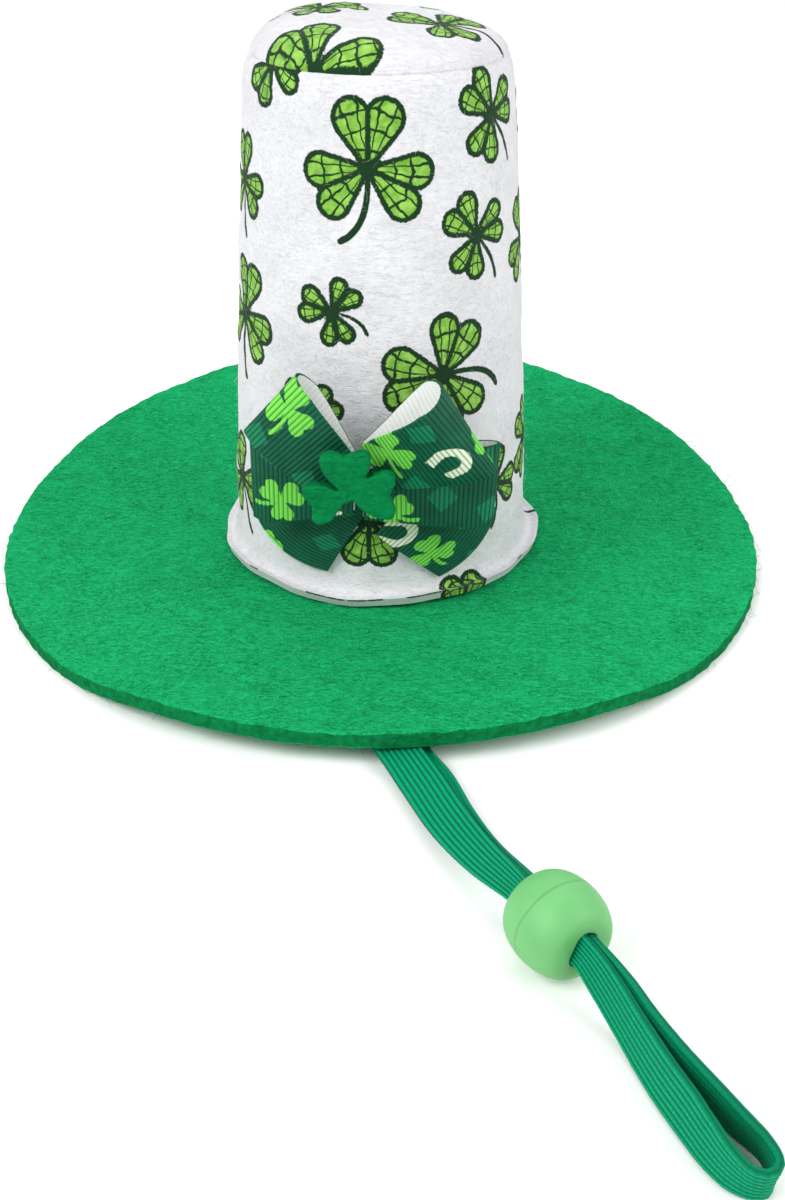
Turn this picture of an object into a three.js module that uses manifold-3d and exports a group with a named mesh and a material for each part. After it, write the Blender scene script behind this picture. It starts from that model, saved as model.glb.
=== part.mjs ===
// A small felt top hat with a ribbon bow and an elastic chin strap.
// Millimetres, +Z up. The hat stands on z = 0 with its brim centred on the origin, and its front is at -Y.
import * as THREE from 'three';
import { mergeVertices } from 'three/addons/utils/BufferGeometryUtils.js';
import Module from 'manifold-3d';

const wasm = await Module();
wasm.setup();

// Clearance between pieces that touch
const GAP = 0.3;

// Brim: an oval felt ring that stands on its left and right sides
const BRIM_RX = 64.3;
const BRIM_RY = 68;
const BRIM_THICK = 2.5;
const HEAD_HOLE_R = 20.5;
const ARCH_FLAT_X = 30;
const ARCH_FOOT_X = 52;
const ARCH_SEAT = 1.6;
const ARCH_FRONT = 3.0;
const ARCH_RAMP_Y = -33;
const ARCH_FADE_Y = 45;
const BACK_LIFT = 6;

// Crown: a tapered felt tube with an out-turned hem, and a domed felt disc on top
const CROWN_Y = -6;
const CROWN_THICK = 1.5;
const SEAT_Z = ARCH_SEAT + BRIM_THICK + GAP;
const CONE_LOW = { z: 10, r: 24.1 };
const CONE_HIGH = { z: 80, r: 19.9 };
const CONE_BULGE = 0.3;
const HEM_R = 26.4;
const HEM_TOP_Z = 14;
const SEAM_Z = 82.6;
const DOME_Z = 88.0;
const DOME_LEAN = 1.3;

// Ribbon bow, on the front of the crown
const RIBBON_THICK = 1.0;
const RIBBON_WIDTH = 15;
const PINCH_WIDTH = 8;
const BOW_Z = 26;
const TAIL_END_BULGE = 1.8;
const LAYER = RIBBON_THICK + GAP;

// Felt shamrock on the bow
const LEAF_THICK = 2.0;
const APPLIQUE_AT = { x: -4.6, out: 9.5, z: 27.9 };

// Elastic chin strap and its slider bead
const STRAP_WIDTH = 6;
const STRAP_THICK = 1;
const GATHERED_WIDTH = 3.8;
const STRAP_CHAMFER = 0.3;
const BEAD_R = 5.85;
const BEAD_END_R = 3.1;
const BEAD_HALF_LENGTH = 5.0;
const BEAD_AT = new THREE.Vector3(20.85, -106.3, 5.95);
const BEAD_HEADING = new THREE.Vector3(0.5, -0.866, 0).normalize();
const BEAD_TILT = 66;
const SLOT_WIDTH = GATHERED_WIDTH + 2 * GAP;
const SLOT_HEIGHT = 2 * STRAP_THICK + 3 * GAP;

const UP = new THREE.Vector3(0, 0, 1);
const { lerp, smoothstep, clamp, degToRad } = THREE.MathUtils;

function geometryFrom(positions, index) {
  const geometry = new THREE.BufferGeometry();
  geometry.setAttribute('position', new THREE.Float32BufferAttribute(positions, 3));
  geometry.setIndex(index);
  geometry.computeVertexNormals();
  return geometry;
}

function normalAt(pointAt, u, v) {
  const step = 1e-3;
  const alongU = pointAt(u + step, v).sub(pointAt(u - step, v));
  const alongV = pointAt(u, v + step).sub(pointAt(u, v - step));
  return alongU.cross(alongV).normalize();
}

// A wall of even thickness about the surface pointAt(u, v), with u and v from 0 to 1.
// A wall that is closed meets itself at u = 0 and u = 1.
function wall(pointAt, stepsU, stepsV, thickness, closed = false) {
  const columns = closed ? stepsU : stepsU + 1;
  const rows = stepsV + 1;
  const positions = [];
  for (const side of [thickness / 2, -thickness / 2]) {
    for (let i = 0; i < columns; i++) {
      for (let j = 0; j < rows; j++) {
        const u = i / stepsU;
        const v = j / stepsV;
        const point = pointAt(u, v).addScaledVector(normalAt(pointAt, u, v), side);
        positions.push(...point);
      }
    }
  }
  const index = [];
  const quad = (a, b, c, d) => index.push(a, b, c, a, c, d);
  const front = (i, j) => (i % columns) * rows + j;
  const back = (i, j) => columns * rows + front(i, j);
  for (let i = 0; i < stepsU; i++) {
    for (let j = 0; j < stepsV; j++) {
      quad(front(i, j), front(i + 1, j), front(i + 1, j + 1), front(i, j + 1));
      quad(back(i, j), back(i, j + 1), back(i + 1, j + 1), back(i + 1, j));
    }
    quad(front(i, 0), back(i, 0), back(i + 1, 0), front(i + 1, 0));
    quad(front(i, stepsV), front(i + 1, stepsV), back(i + 1, stepsV), back(i, stepsV));
  }
  for (let j = 0; j < stepsV && !closed; j++) {
    quad(front(0, j), front(0, j + 1), back(0, j + 1), back(0, j));
    quad(front(stepsU, j), back(stepsU, j), back(stepsU, j + 1), front(stepsU, j + 1));
  }
  return geometryFrom(positions, index);
}

// A solid skinned over rings of points that all have the same number of corners.
function skin(rings) {
  const sides = rings[0].length;
  const positions = rings.flat().flatMap((point) => [...point]);
  const index = [];
  for (let k = 0; k + 1 < rings.length; k++) {
    for (let i = 0; i < sides; i++) {
      const a = k * sides + i;
      const b = k * sides + ((i + 1) % sides);
      index.push(a, b, b + sides, a, b + sides, a + sides);
    }
  }
  const last = (rings.length - 1) * sides;
  for (let i = 1; i + 1 < sides; i++) {
    index.push(0, i + 1, i);
    index.push(last, last + i, last + i + 1);
  }
  return geometryFrom(positions, index);
}

function toSolid(geometry) {
  const bare = geometry.clone();
  bare.deleteAttribute('normal');
  bare.deleteAttribute('uv');
  const merged = mergeVertices(bare, 1e-4);
  return new wasm.Manifold(new wasm.Mesh({
    numProp: 3,
    vertProperties: new Float32Array(merged.attributes.position.array),
    triVerts: new Uint32Array(merged.index.array),
  }));
}

function fromSolid(solid) {
  const mesh = solid.getMesh();
  return geometryFrom(Array.from(mesh.vertProperties), Array.from(mesh.triVerts));
}

// Height of the brim's underside: feet at the sides, a low arch between them, and a lifted back.
function brimUnderside(x, y) {
  const feet = smoothstep(Math.abs(x), ARCH_FLAT_X, ARCH_FOOT_X) * (1 - smoothstep(y, 0, ARCH_FADE_Y));
  const front = clamp((y - ARCH_RAMP_Y) / (-BRIM_RY - ARCH_RAMP_Y), 0, 1);
  const back = Math.max(y, 0) / BRIM_RY;
  return (1 - feet) * lerp(ARCH_SEAT, ARCH_FRONT, front) + BACK_LIFT * back ** 2;
}

function brim() {
  const pointAt = (u, v) => {
    const angle = 2 * Math.PI * u;
    const x = Math.cos(angle) * lerp(HEAD_HOLE_R, BRIM_RX, v);
    const y = Math.sin(angle) * lerp(HEAD_HOLE_R, BRIM_RY, v) + lerp(CROWN_Y, 0, v);
    return new THREE.Vector3(x, y, brimUnderside(x, y) + BRIM_THICK / 2);
  };
  return wall((u, v) => pointAt(u, 1 - v), 72, 10, BRIM_THICK, true);
}

// Outer radius of the crown's taper, which bulges a little half way up
function coneRadius(z) {
  const share = (z - CONE_LOW.z) / (CONE_HIGH.z - CONE_LOW.z);
  return lerp(CONE_LOW.r, CONE_HIGH.r, share) + CONE_BULGE * 4 * share * (1 - share);
}

function crownWall() {
  const half = CROWN_THICK / 2;
  const profile = [
    { r: HEM_R, z: SEAT_Z + half },
    { r: HEM_R - 1.2, z: SEAT_Z + half + 0.1 },
    { r: HEM_R - 2.3, z: SEAT_Z + half + 1.0 },
    { r: coneRadius(8.6) - half, z: 8.6 },
    { r: coneRadius(20) - half, z: 20 },
    { r: coneRadius(50) - half, z: 50 },
    { r: coneRadius(75) - half, z: 75 },
    { r: coneRadius(80) - half - 0.1, z: 80 },
    { r: coneRadius(SEAM_Z) - half - 0.6, z: SEAM_Z },
  ];
  const line = new THREE.SplineCurve(profile.map(({ r, z }) => new THREE.Vector2(r, z)));
  const pointAt = (u, v) => {
    const { x: r, y: z } = line.getPoint(clamp(v, 0, 1));
    const angle = 2 * Math.PI * u;
    const x = r * Math.cos(angle);
    const y = r * Math.sin(angle) + CROWN_Y;
    const seated = 1 - smoothstep(z, SEAT_Z, HEM_TOP_Z);
    return new THREE.Vector3(x, y, z + seated * (brimUnderside(x, y) - ARCH_SEAT));
  };
  return wall(pointAt, 56, 14, CROWN_THICK, true);
}

// The disc's outer line runs from the seam to the middle of the dome, and its inner line back.
function crownTop() {
  const seamR = coneRadius(SEAM_Z) - 0.9;
  const rise = DOME_Z - SEAM_Z;
  const outer = [
    { r: 1.0, up: 0.12 },
    { r: 0.95, up: 0.38 },
    { r: 0.83, up: 0.68 },
    { r: 0.62, up: 0.88 },
    { r: 0.33, up: 0.97 },
    { r: 0, up: 1 },
  ];
  const ring = outer.map(({ r, up }) => new THREE.Vector2(r * seamR, SEAM_Z + GAP + up * rise));
  const lining = outer.map(({ r, up }) => {
    const inset = CROWN_THICK * (r > 0.9 ? 0.9 : 0.5) * Math.sign(r);
    return new THREE.Vector2(r * seamR - inset, SEAM_Z + GAP + up * rise - CROWN_THICK * (1 - 0.5 * r));
  });
  const profile = [...lining.toReversed(), ...ring];
  const geometry = new THREE.LatheGeometry(profile, 48);
  geometry.rotateX(Math.PI / 2);
  const position = geometry.attributes.position;
  for (let i = 0; i < position.count; i++) {
    const x = position.getX(i) / seamR;
    const y = position.getY(i) / seamR;
    const inside = Math.max(0, 1 - (x * x + y * y) ** 2);
    position.setZ(i, position.getZ(i) - DOME_LEAN * x * inside);
  }
  geometry.translate(0, CROWN_Y, 0);
  return geometry;
}

// A point beside the crown's front: arc is measured round the wall from the middle, out from its surface.
function onCrown(arc, z, out) {
  const r = coneRadius(z);
  const turn = arc / r;
  const reach = r + out;
  return new THREE.Vector3(reach * Math.sin(turn), CROWN_Y - reach * Math.cos(turn), z);
}

// Ribbon tails lie flat on the crown, from a pinched root to a cut end. Each corner is an arc and a height.
const TAILS = [
  {
    name: 'bow_tail_left',
    rootLower: { arc: -1.6, z: 21 },
    rootUpper: { arc: -7.6, z: 25.8 },
    endLower: { arc: -8.1, z: 9.4 },
    endUpper: { arc: -22.2, z: 15.6 },
  },
  {
    name: 'bow_tail_right',
    rootLower: { arc: -0.6, z: 16.6 },
    rootUpper: { arc: 4.4, z: 22.8 },
    endLower: { arc: 9.2, z: 8.2 },
    endUpper: { arc: 20, z: 17 },
  },
];

function tail({ rootLower, rootUpper, endLower, endUpper }) {
  const out = GAP + RIBBON_THICK / 2;
  const way = new THREE.Vector2(
    endLower.arc + endUpper.arc - rootLower.arc - rootUpper.arc,
    endLower.z + endUpper.z - rootLower.z - rootUpper.z,
  ).normalize();
  const pointAt = (u, v) => {
    const arc = lerp(lerp(rootLower.arc, endLower.arc, u), lerp(rootUpper.arc, endUpper.arc, u), v);
    const z = lerp(lerp(rootLower.z, endLower.z, u), lerp(rootUpper.z, endUpper.z, u), v);
    const bulge = TAIL_END_BULGE * 4 * v * (1 - v) * u ** 2;
    return onCrown(arc + bulge * way.x, z + bulge * way.y, out);
  };
  return wall(pointAt, 8, 6, RIBBON_THICK);
}

// Ribbon loops run from a pinched root out to a round bend and back. out is measured from the front of
// the crown. turn swings the bend line about Y and a negative lean tips its upper end forward, in degrees.
// gape opens the loop, and flare opens its upper edge more than its lower one.
const LOOPS = [
  {
    name: 'bow_loop_left',
    root: { x: -3.6, out: 3.45, z: 25.6 },
    bend: { x: -19.2, out: -0.8, z: 26.4 },
    width: RIBBON_WIDTH,
    turn: 0,
    lean: 0,
    gape: 4.6,
    flare: 0,
  },
  {
    name: 'bow_loop_right',
    root: { x: -2.6, out: 3.7, z: 24.6 },
    bend: { x: 17.4, out: 1.8, z: 25.6 },
    width: RIBBON_WIDTH - 2,
    turn: 3,
    lean: 0,
    gape: 4.2,
    flare: 0,
  },
  {
    name: 'bow_loop_upper_left',
    root: { x: -5.2, out: 6.6, z: 27.6 },
    bend: { x: -15.5, out: 5.6, z: 39.9 },
    width: RIBBON_WIDTH - 2.4,
    turn: 40,
    lean: -10,
    gape: 4.8,
    flare: 0.5,
  },
  {
    name: 'bow_loop_upper_right',
    root: { x: -0.6, out: 6.7, z: 30.6 },
    bend: { x: 12.9, out: 9.6, z: 37.2 },
    width: RIBBON_WIDTH,
    turn: -33,
    lean: -6,
    gape: 8.8,
    flare: 0.7,
  },
];
const BOW_FRONT_Y = CROWN_Y - coneRadius(BOW_Z);
const ROOT_PHASE = degToRad(30);

function loop({ root, bend, width, turn, lean, gape, flare }) {
  const start = new THREE.Vector3(root.x, BOW_FRONT_Y - root.out, root.z);
  const end = new THREE.Vector3(bend.x, BOW_FRONT_Y - bend.out, bend.z);
  const along = end.clone().sub(start);
  const flat = new THREE.Vector3(-along.z, 0, along.x).normalize();
  const rootWay = flat.multiplyScalar(Math.sign(flat.z));
  const swing = degToRad(turn);
  const tip = degToRad(lean);
  const bendWay = new THREE.Vector3(
    Math.sin(swing) * Math.cos(tip),
    Math.sin(tip),
    Math.cos(swing) * Math.cos(tip),
  );
  const reach = Math.cos(ROOT_PHASE);
  const pointAt = (u, v) => {
    const phase = lerp(ROOT_PHASE, 2 * Math.PI - ROOT_PHASE, u);
    const share = (reach - Math.cos(phase)) / (1 + reach);
    const across = rootWay.clone().lerp(bendWay, clamp(share, 0, 1)).normalize();
    const outward = across.clone().cross(along).normalize();
    outward.multiplyScalar(-Math.sign(outward.y));
    const open = (gape / 2) * (1 + flare * (2 * v - 1)) * Math.sin(phase) * share;
    const apart = (LAYER / 2) * (1 - share) * Math.sign(0.5 - u);
    const half = lerp(PINCH_WIDTH, width, clamp(share * 1.25, 0, 1)) / 2;
    return start.clone()
      .addScaledVector(along, share)
      .addScaledVector(outward, open + apart)
      .addScaledVector(across, (2 * v - 1) * half);
  };
  return wall(pointAt, 20, 4, RIBBON_THICK);
}

// Three heart-shaped leaves round a common middle. across is towards the next leaf.
const LEAVES = [
  { heading: 92, length: 0.93 },
  { heading: 198, length: 0.82 },
  { heading: 360, length: 0.95 },
];

function applique() {
  const shape = new THREE.Shape();
  const leafPoint = (leaf, along, across) => {
    const heading = degToRad(leaf.heading);
    const way = new THREE.Vector2(Math.cos(heading), Math.sin(heading)).multiplyScalar(leaf.length);
    return new THREE.Vector2(way.x * along - way.y * across, way.y * along + way.x * across);
  };
  LEAVES.forEach((leaf, n) => {
    const at = (along, across) => leafPoint(leaf, along, across);
    const lobe = (...points) => shape.bezierCurveTo(...points.flatMap((point) => [...point]));
    const entry = at(1.0, -0.8);
    if (n === 0) {
      shape.moveTo(...entry);
    } else {
      shape.lineTo(...entry);
    }
    lobe(at(5.0, -4.6), at(10.4, -6.2), at(6.4, 0));
    lobe(at(10.4, 6.2), at(5.0, 4.6), at(1.0, 0.8));
  });
  shape.closePath();
  const geometry = new THREE.ExtrudeGeometry(shape, {
    depth: LEAF_THICK,
    bevelEnabled: false,
    curveSegments: 8,
  });
  geometry.rotateX(Math.PI / 2);
  return geometry;
}

// The strap's route from its left end under the brim, out through the bead, round the tip of the loop
// and back to its right end: x, y and z of its middle, the tilt of its width from the left of its way, and
// its width, which the bead gathers.
const STRAP_ROUTE = [
  [-27.0, -9.0, 0.8, 0, STRAP_WIDTH],
  [-20.5, -25.0, 0.8, 0, STRAP_WIDTH],
  [-11.2, -44.0, 0.9, 0, STRAP_WIDTH],
  [-3.6, -56.0, 1.45, 0, STRAP_WIDTH],
  [0.4, -62.2, 1.8, 0, STRAP_WIDTH],
  [2.5, -66.4, 1.95, 3, STRAP_WIDTH],
  [5.7, -74.5, 2.3, 10, STRAP_WIDTH],
  [9.1, -84.0, 3.1, 20, 5.6],
  [12.6, -92.4, 4.5, 40, 4.8],
  [17.24, -101.23, 6.21, 66, GATHERED_WIDTH],
  [20.34, -106.6, 6.21, 66, GATHERED_WIDTH],
  [23.44, -111.97, 6.21, 66, GATHERED_WIDTH],
  [25.5, -115.4, 4.8, 70, 4.6],
  [27.2, -119.0, 3.7, 76, 5.4],
  [28.7, -123.0, 3.2, 78, STRAP_WIDTH],
  [30.1, -127.0, 3.15, 77, STRAP_WIDTH],
  [31.8, -131.2, 3.15, 77, STRAP_WIDTH],
  [33.4, -135.2, 3.15, 82, STRAP_WIDTH],
  [34.9, -138.0, 3.15, 92, STRAP_WIDTH],
  [36.4, -139.5, 3.1, 104, STRAP_WIDTH],
  [37.4, -139.9, 3.1, 109, STRAP_WIDTH],
  [38.2, -139.8, 3.1, 107, STRAP_WIDTH],
  [38.75, -139.2, 3.1, 100, STRAP_WIDTH],
  [39.0, -138.2, 3.1, 91, STRAP_WIDTH],
  [39.0, -136.9, 3.12, 82, STRAP_WIDTH],
  [38.7, -135.5, 3.12, 76, STRAP_WIDTH],
  [38.05, -134.2, 3.12, 75, STRAP_WIDTH],
  [37.0, -132.6, 3.12, 78, STRAP_WIDTH],
  [35.5, -130.2, 3.12, 82, STRAP_WIDTH],
  [33.4, -127.0, 3.15, 88, STRAP_WIDTH],
  [31.2, -123.3, 3.2, 94, STRAP_WIDTH],
  [29.2, -119.6, 3.6, 101, 5.4],
  [27.3, -115.9, 4.4, 108, 4.8],
  [24.46, -111.37, 5.69, 114, GATHERED_WIDTH],
  [21.36, -106.0, 5.69, 114, GATHERED_WIDTH],
  [18.26, -100.63, 5.69, 114, GATHERED_WIDTH],
  [13.7, -91.9, 3.6, 142, 4.8],
  [10.4, -83.6, 2.3, 158, 5.6],
  [7.4, -73.5, 1.35, 170, STRAP_WIDTH],
  [4.3, -65.3, 0.74, 177, STRAP_WIDTH],
  [4.7, -59.5, 0.65, 180, STRAP_WIDTH],
  [8.4, -48.0, 0.7, 180, STRAP_WIDTH],
  [16.0, -31.5, 0.8, 180, STRAP_WIDTH],
  [24.0, -15.5, 0.8, 180, STRAP_WIDTH],
  [27.0, -9.0, 0.8, 180, STRAP_WIDTH],
];
const STRAP_STEPS = 80;

function strapSection(across) {
  const half = across / 2;
  const thick = STRAP_THICK / 2;
  const inner = half - STRAP_CHAMFER;
  const waist = thick - STRAP_CHAMFER;
  const corner = [[half, waist], [inner, thick]];
  const mirrored = corner.map(([side, out]) => [-side, out]).reverse();
  const top = [...corner, ...mirrored];
  return [...top, ...top.map(([side, out]) => [-side, -out])];
}

function chinStrap() {
  const line = new THREE.CatmullRomCurve3(STRAP_ROUTE.map(([x, y, z]) => new THREE.Vector3(x, y, z)));
  const spans = STRAP_ROUTE.length - 1;
  const rings = [];
  for (let i = 0; i <= STRAP_STEPS; i++) {
    const t = i / STRAP_STEPS;
    const before = Math.min(Math.floor(t * spans), spans - 1);
    const share = t * spans - before;
    const [, , , fromTilt, fromWidth] = STRAP_ROUTE[before];
    const [, , , toTilt, toWidth] = STRAP_ROUTE[before + 1];
    const tilt = degToRad(lerp(fromTilt, toTilt, share));
    const way = line.getTangent(t);
    const left = UP.clone().cross(way).normalize();
    const lateral = left.multiplyScalar(Math.cos(tilt)).addScaledVector(UP, Math.sin(tilt));
    const face = way.clone().cross(lateral).normalize();
    const width = face.clone().cross(way).normalize();
    const middle = line.getPoint(t);
    rings.push(strapSection(lerp(fromWidth, toWidth, share)).map(([across, out]) => (
      middle.clone().addScaledVector(width, across).addScaledVector(face, out)
    )));
  }
  return skin(rings);
}

// A barrel with flat ends, pierced lengthwise by a slot for both strands. Its length is along local Z.
function sliderBead() {
  const rows = 12;
  const profile = [new THREE.Vector2(0, -BEAD_HALF_LENGTH)];
  for (let k = 0; k <= rows; k++) {
    const angle = Math.PI * (k / rows - 0.5);
    const r = BEAD_END_R + (BEAD_R - BEAD_END_R) * Math.cos(angle);
    profile.push(new THREE.Vector2(r, BEAD_HALF_LENGTH * Math.sin(angle)));
  }
  profile.push(new THREE.Vector2(0, BEAD_HALF_LENGTH));
  const barrel = new THREE.LatheGeometry(profile, 24);
  barrel.rotateX(Math.PI / 2);
  const slot = new THREE.BoxGeometry(SLOT_WIDTH, SLOT_HEIGHT, 4 * BEAD_HALF_LENGTH);
  return fromSolid(toSolid(barrel).subtract(toSolid(slot)));
}

function beadFrame() {
  const left = UP.clone().cross(BEAD_HEADING).normalize();
  const tilt = degToRad(BEAD_TILT);
  const width = left.multiplyScalar(Math.cos(tilt)).addScaledVector(UP, Math.sin(tilt));
  const face = BEAD_HEADING.clone().cross(width);
  return new THREE.Matrix4().makeBasis(width, face, BEAD_HEADING);
}

function felt(color) {
  return new THREE.MeshStandardMaterial({ color, roughness: 0.95, metalness: 0 });
}

function ribbon() {
  return new THREE.MeshStandardMaterial({ color: 0x0b5a3a, roughness: 0.6, metalness: 0 });
}

const hat = new THREE.Group();

function add(name, geometry, material) {
  const mesh = new THREE.Mesh(geometry, material);
  mesh.name = name;
  hat.add(mesh);
  return mesh;
}

add('brim', brim(), felt(0x0a9a48));
add('crown_wall', crownWall(), felt(0xe9e9ec));
add('crown_top', crownTop(), felt(0xe9e9ec));
for (const row of TAILS) {
  add(row.name, tail(row), ribbon());
}
for (const row of LOOPS) {
  add(row.name, loop(row), ribbon());
}
const shamrock = add('shamrock_applique', applique(), felt(0x0b8a45));
shamrock.position.set(APPLIQUE_AT.x, BOW_FRONT_Y - APPLIQUE_AT.out, APPLIQUE_AT.z);
add('chin_strap', chinStrap(), new THREE.MeshStandardMaterial({ color: 0x0c8a5a, roughness: 0.7 }));
const plastic = new THREE.MeshStandardMaterial({ color: 0x74d67c, roughness: 0.5 });
const bead = add('slider_bead', sliderBead(), plastic);
bead.position.copy(BEAD_AT);
bead.quaternion.setFromRotationMatrix(beadFrame());

export default hat;
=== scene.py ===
"""A small felt top hat with a ribbon bow and an elastic chin strap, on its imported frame."""
import math

import bpy
import numpy as np
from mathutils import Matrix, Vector


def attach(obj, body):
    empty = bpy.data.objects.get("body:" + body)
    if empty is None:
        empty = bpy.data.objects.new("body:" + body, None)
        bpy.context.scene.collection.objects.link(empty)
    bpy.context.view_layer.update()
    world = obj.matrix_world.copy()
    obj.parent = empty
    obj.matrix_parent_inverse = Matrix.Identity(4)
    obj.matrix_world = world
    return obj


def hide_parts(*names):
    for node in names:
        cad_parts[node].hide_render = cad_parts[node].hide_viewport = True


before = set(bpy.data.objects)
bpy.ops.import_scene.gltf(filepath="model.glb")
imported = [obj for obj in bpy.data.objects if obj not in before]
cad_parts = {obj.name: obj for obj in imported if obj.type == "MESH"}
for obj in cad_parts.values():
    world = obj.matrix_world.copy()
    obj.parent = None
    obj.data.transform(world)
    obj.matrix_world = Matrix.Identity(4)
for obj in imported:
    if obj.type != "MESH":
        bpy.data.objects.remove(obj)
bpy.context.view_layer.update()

bl_info = {
    "name": "Shamrock Top Hat",
    "version": (1, 0, 0),
    "blender": (4, 5, 0),
    "location": "View3D > Sidebar > Hat",
    "description": "Dresses a small felt top hat with its print, bow, chin strap and bead",
    "category": "Object",
}

# Sizes below are in millimetres, and meshes are made in metres.
MM = 0.001
UP = np.array([0, 0, 1])

# Brim
BRIM_RX, BRIM_RY = 64.3, 68.0
HEAD_HOLE_R = 20.5
ARCH_FLAT_X, ARCH_FOOT_X = 30.0, 52.0
ARCH_SEAT, ARCH_FRONT = 1.6, 3.0
ARCH_RAMP_Y, ARCH_FADE_Y = -33.0, 45.0
BACK_LIFT = 6.0
BRIM_AROUND = 480
# Rounding of the cut edges, and about how far the felt reaches from its opening to its edge
BRIM_BEVEL, BRIM_REACH = 0.3, 45.0

# Crown
CROWN_Y = -6.0
CONE_LOW_Z, CONE_LOW_R = 10.0, 24.1
CONE_HIGH_Z, CONE_HIGH_R = 80.0, 19.9
CONE_BULGE = 0.3
SEAT_Z = 4.4
HEM_R = 26.4
HEM_TOP_Z = 14.0
SEAM_Z, DOME_Z, DOME_LEAN = 82.6, 88.0, 1.3
WALL_AROUND, TOP_AROUND = 420, 240
# The wall's section: steps in and up from the hem's edge, heights, and steps in and up at the seam
HEM_LINE = [(0.0, 0.0), (1.2, 0.1), (2.3, 1.0)]
WALL_HEIGHTS = (8.6, 20, 50, 75)
SEAM_LINE = [(0.55, -0.1), (1.1, 0.25)]
# Hem: rows next to its cut edge, the edge's waves as reach, count and phase, and its lift
HEM_EDGE_ROWS = [0, 0.12, 0.26, 0.42, 0.62, 0.9]
HEM_WAVES = [(0.26, 3, 0.6), (0.22, 7, 2.0), (0.12, 17, 0.0)]
HEM_LIFT = 0.22
# The dome's section from its seam to its middle, in shares of its radius and its rise
DOME_LINE = [(0.975, -0.03), (1.0, 0.08), (0.985, 0.22), (0.95, 0.38), (0.83, 0.68), (0.62, 0.88),
             (0.33, 0.97), (0.0, 1.0)]

# Felt fibres' ways over a surface: turn in radians, and stretch
NAP_WAYS = [(0.2, (1, 3.4, 3)), (1.2, (1, 3, 3)), (2.7, (1.2, 3.6, 3))]

# Unevenness of the felt, as waves: height, length, seed and number
BRIM_LUMPS = [(0.07, 3.2, 5, 30), (0.05, 11.0, 6, 14)]
RIM_LUMPS = [(0.07, 2.6, 7, 30)]
WALL_LUMPS = [(0.10, 14.0, 31, 14), (0.035, 2.4, 32, 30)]
TOP_LUMPS = [(0.10, 9.0, 41, 14), (0.03, 2.2, 42, 30)]
APPLIQUE_LUMPS, APPLIQUE_FRAY = [(0.05, 1.6, 51, 30)], [(0.05, 1.1, 52, 30)]

# Stray fibres: radius as a share of their length
BRIM_FIBRE_R, CROWN_FIBRE_R = 0.010, 0.008
# Loose fibres, and those of the felt shamrock: number per square metre, length in metres, radius
# as a share of it, seed, and for the loose ones the least lean in radians
LOOSE_FIBRES = (7000.0, 0.008, 0.0035, 12, 1.4)
SHAMROCK_FIBRES = (500000.0, 0.0012, 0.012, 53)
# Least distance from the crown's axis at which its wall has fibres
WALL_NAP_R = 17.0

# Bow
BOW_Z = 26.0
PINCH_WIDTH = 8.0
TAIL_END_BULGE, TAIL_OUT, TAIL_WAVE = 1.8, 0.75, 0.18
ROOT_PHASE = math.radians(30)
LAYER = 1.3
RIBBON_COLUMNS, ROWS_PER_RIB, RIBBON_RIB = 33, 6, 0.10

# Shamrocks printed round the crown: degrees round from the front, height, leaf length,
# heading of the first leaf in degrees, and how far the stem bends.
CROWN_PRINT = [
    (-4, 71.3, 8.8, 90, -0.30),
    (52, 76.8, 6.2, 130, -0.14),
    (41.5, 60.6, 6.0, 130, -0.17),
    (-18, 50.8, 4.9, 169, -0.30),
    (25, 40.9, 8.7, 182, -0.32),
    (-71, 66.3, 6.3, 95, 0.10),
    (-67, 46.4, 7.8, 85, 0.12),
    (-27.5, 34.6, 5.4, 150, -0.25),
    (82, 56.5, 6.6, 100, 0.20),
    (50, 20.5, 5.8, 100, -0.25),
    (80, 24.0, 6.5, 120, 0.20),
    (-4, 18.4, 7.4, 270, 0.20),
    (31, 0.5, 6.6, 90, 0.10),
    (-70, 18.5, 7.0, 110, 0.10),
    (-50, 83.8, 5.6, 235, 0.10),
    (101, 76.0, 6.2, 80, 0.15),
    (126, 61.0, 8.4, 200, -0.25),
    (113, 40.0, 5.4, 130, 0.20),
    (141, 30.0, 7.8, 95, -0.20),
    (150, 77.0, 5.6, 160, 0.20),
    (166, 51.0, 6.4, 75, 0.15),
    (178, 19.0, 5.6, 210, 0.15),
    (187, 71.0, 8.2, 100, -0.25),
    (206, 37.0, 7.6, 260, 0.25),
    (219, 58.0, 5.4, 140, 0.15),
    (233, 77.0, 6.4, 95, 0.15),
    (240, 20.0, 6.0, 60, -0.15),
    (252, 42.0, 6.0, 170, 0.20),
    (259, 60.0, 5.0, 110, 0.15),
    (104, 13.0, 6.0, 60, 0.15),
]

# Shamrocks printed on the top disc: x and y from its middle, leaf length, heading, stem bend.
TOP_PRINT = [
    (-8.9, -17.4, 9.0, 104, 0.20),
    (-8.5, 3.2, 6.2, 20, 0.15),
    (9.0, -3.0, 7.0, 172, -0.20),
    (6.5, 15.0, 5.4, 300, 0.20),
]

# One printed shamrock, in leaf lengths. Leaves: turn from the first in degrees, length, and the
# splay and radius of the leaf's two lobes. A stem's bend is turned into a hook at its end.
LEAVES = [(0, 1.0, 20, 0.33), (115, 0.98, 20, 0.30), (-115, 0.98, 20, 0.30)]
MIDLINE = 0.25
LOBE_START, LOBE_REACH = 0.05, 0.8
STEM_LENGTH, STEM_HALF, STEM_HOOK = 1.32, 0.038, 4.2
HUB = 0.15
VEIN_LINES, VEIN_ARCS = 1.5, 3.4

# Marks of cut print along the hem: first and last degrees round from the front.
HEM_MARKS = [(-53, -49), (-26, -12), (-11, 1), (9, 23), (60, 64), (118, 126), (176, 190),
             (232, 238)]

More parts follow.
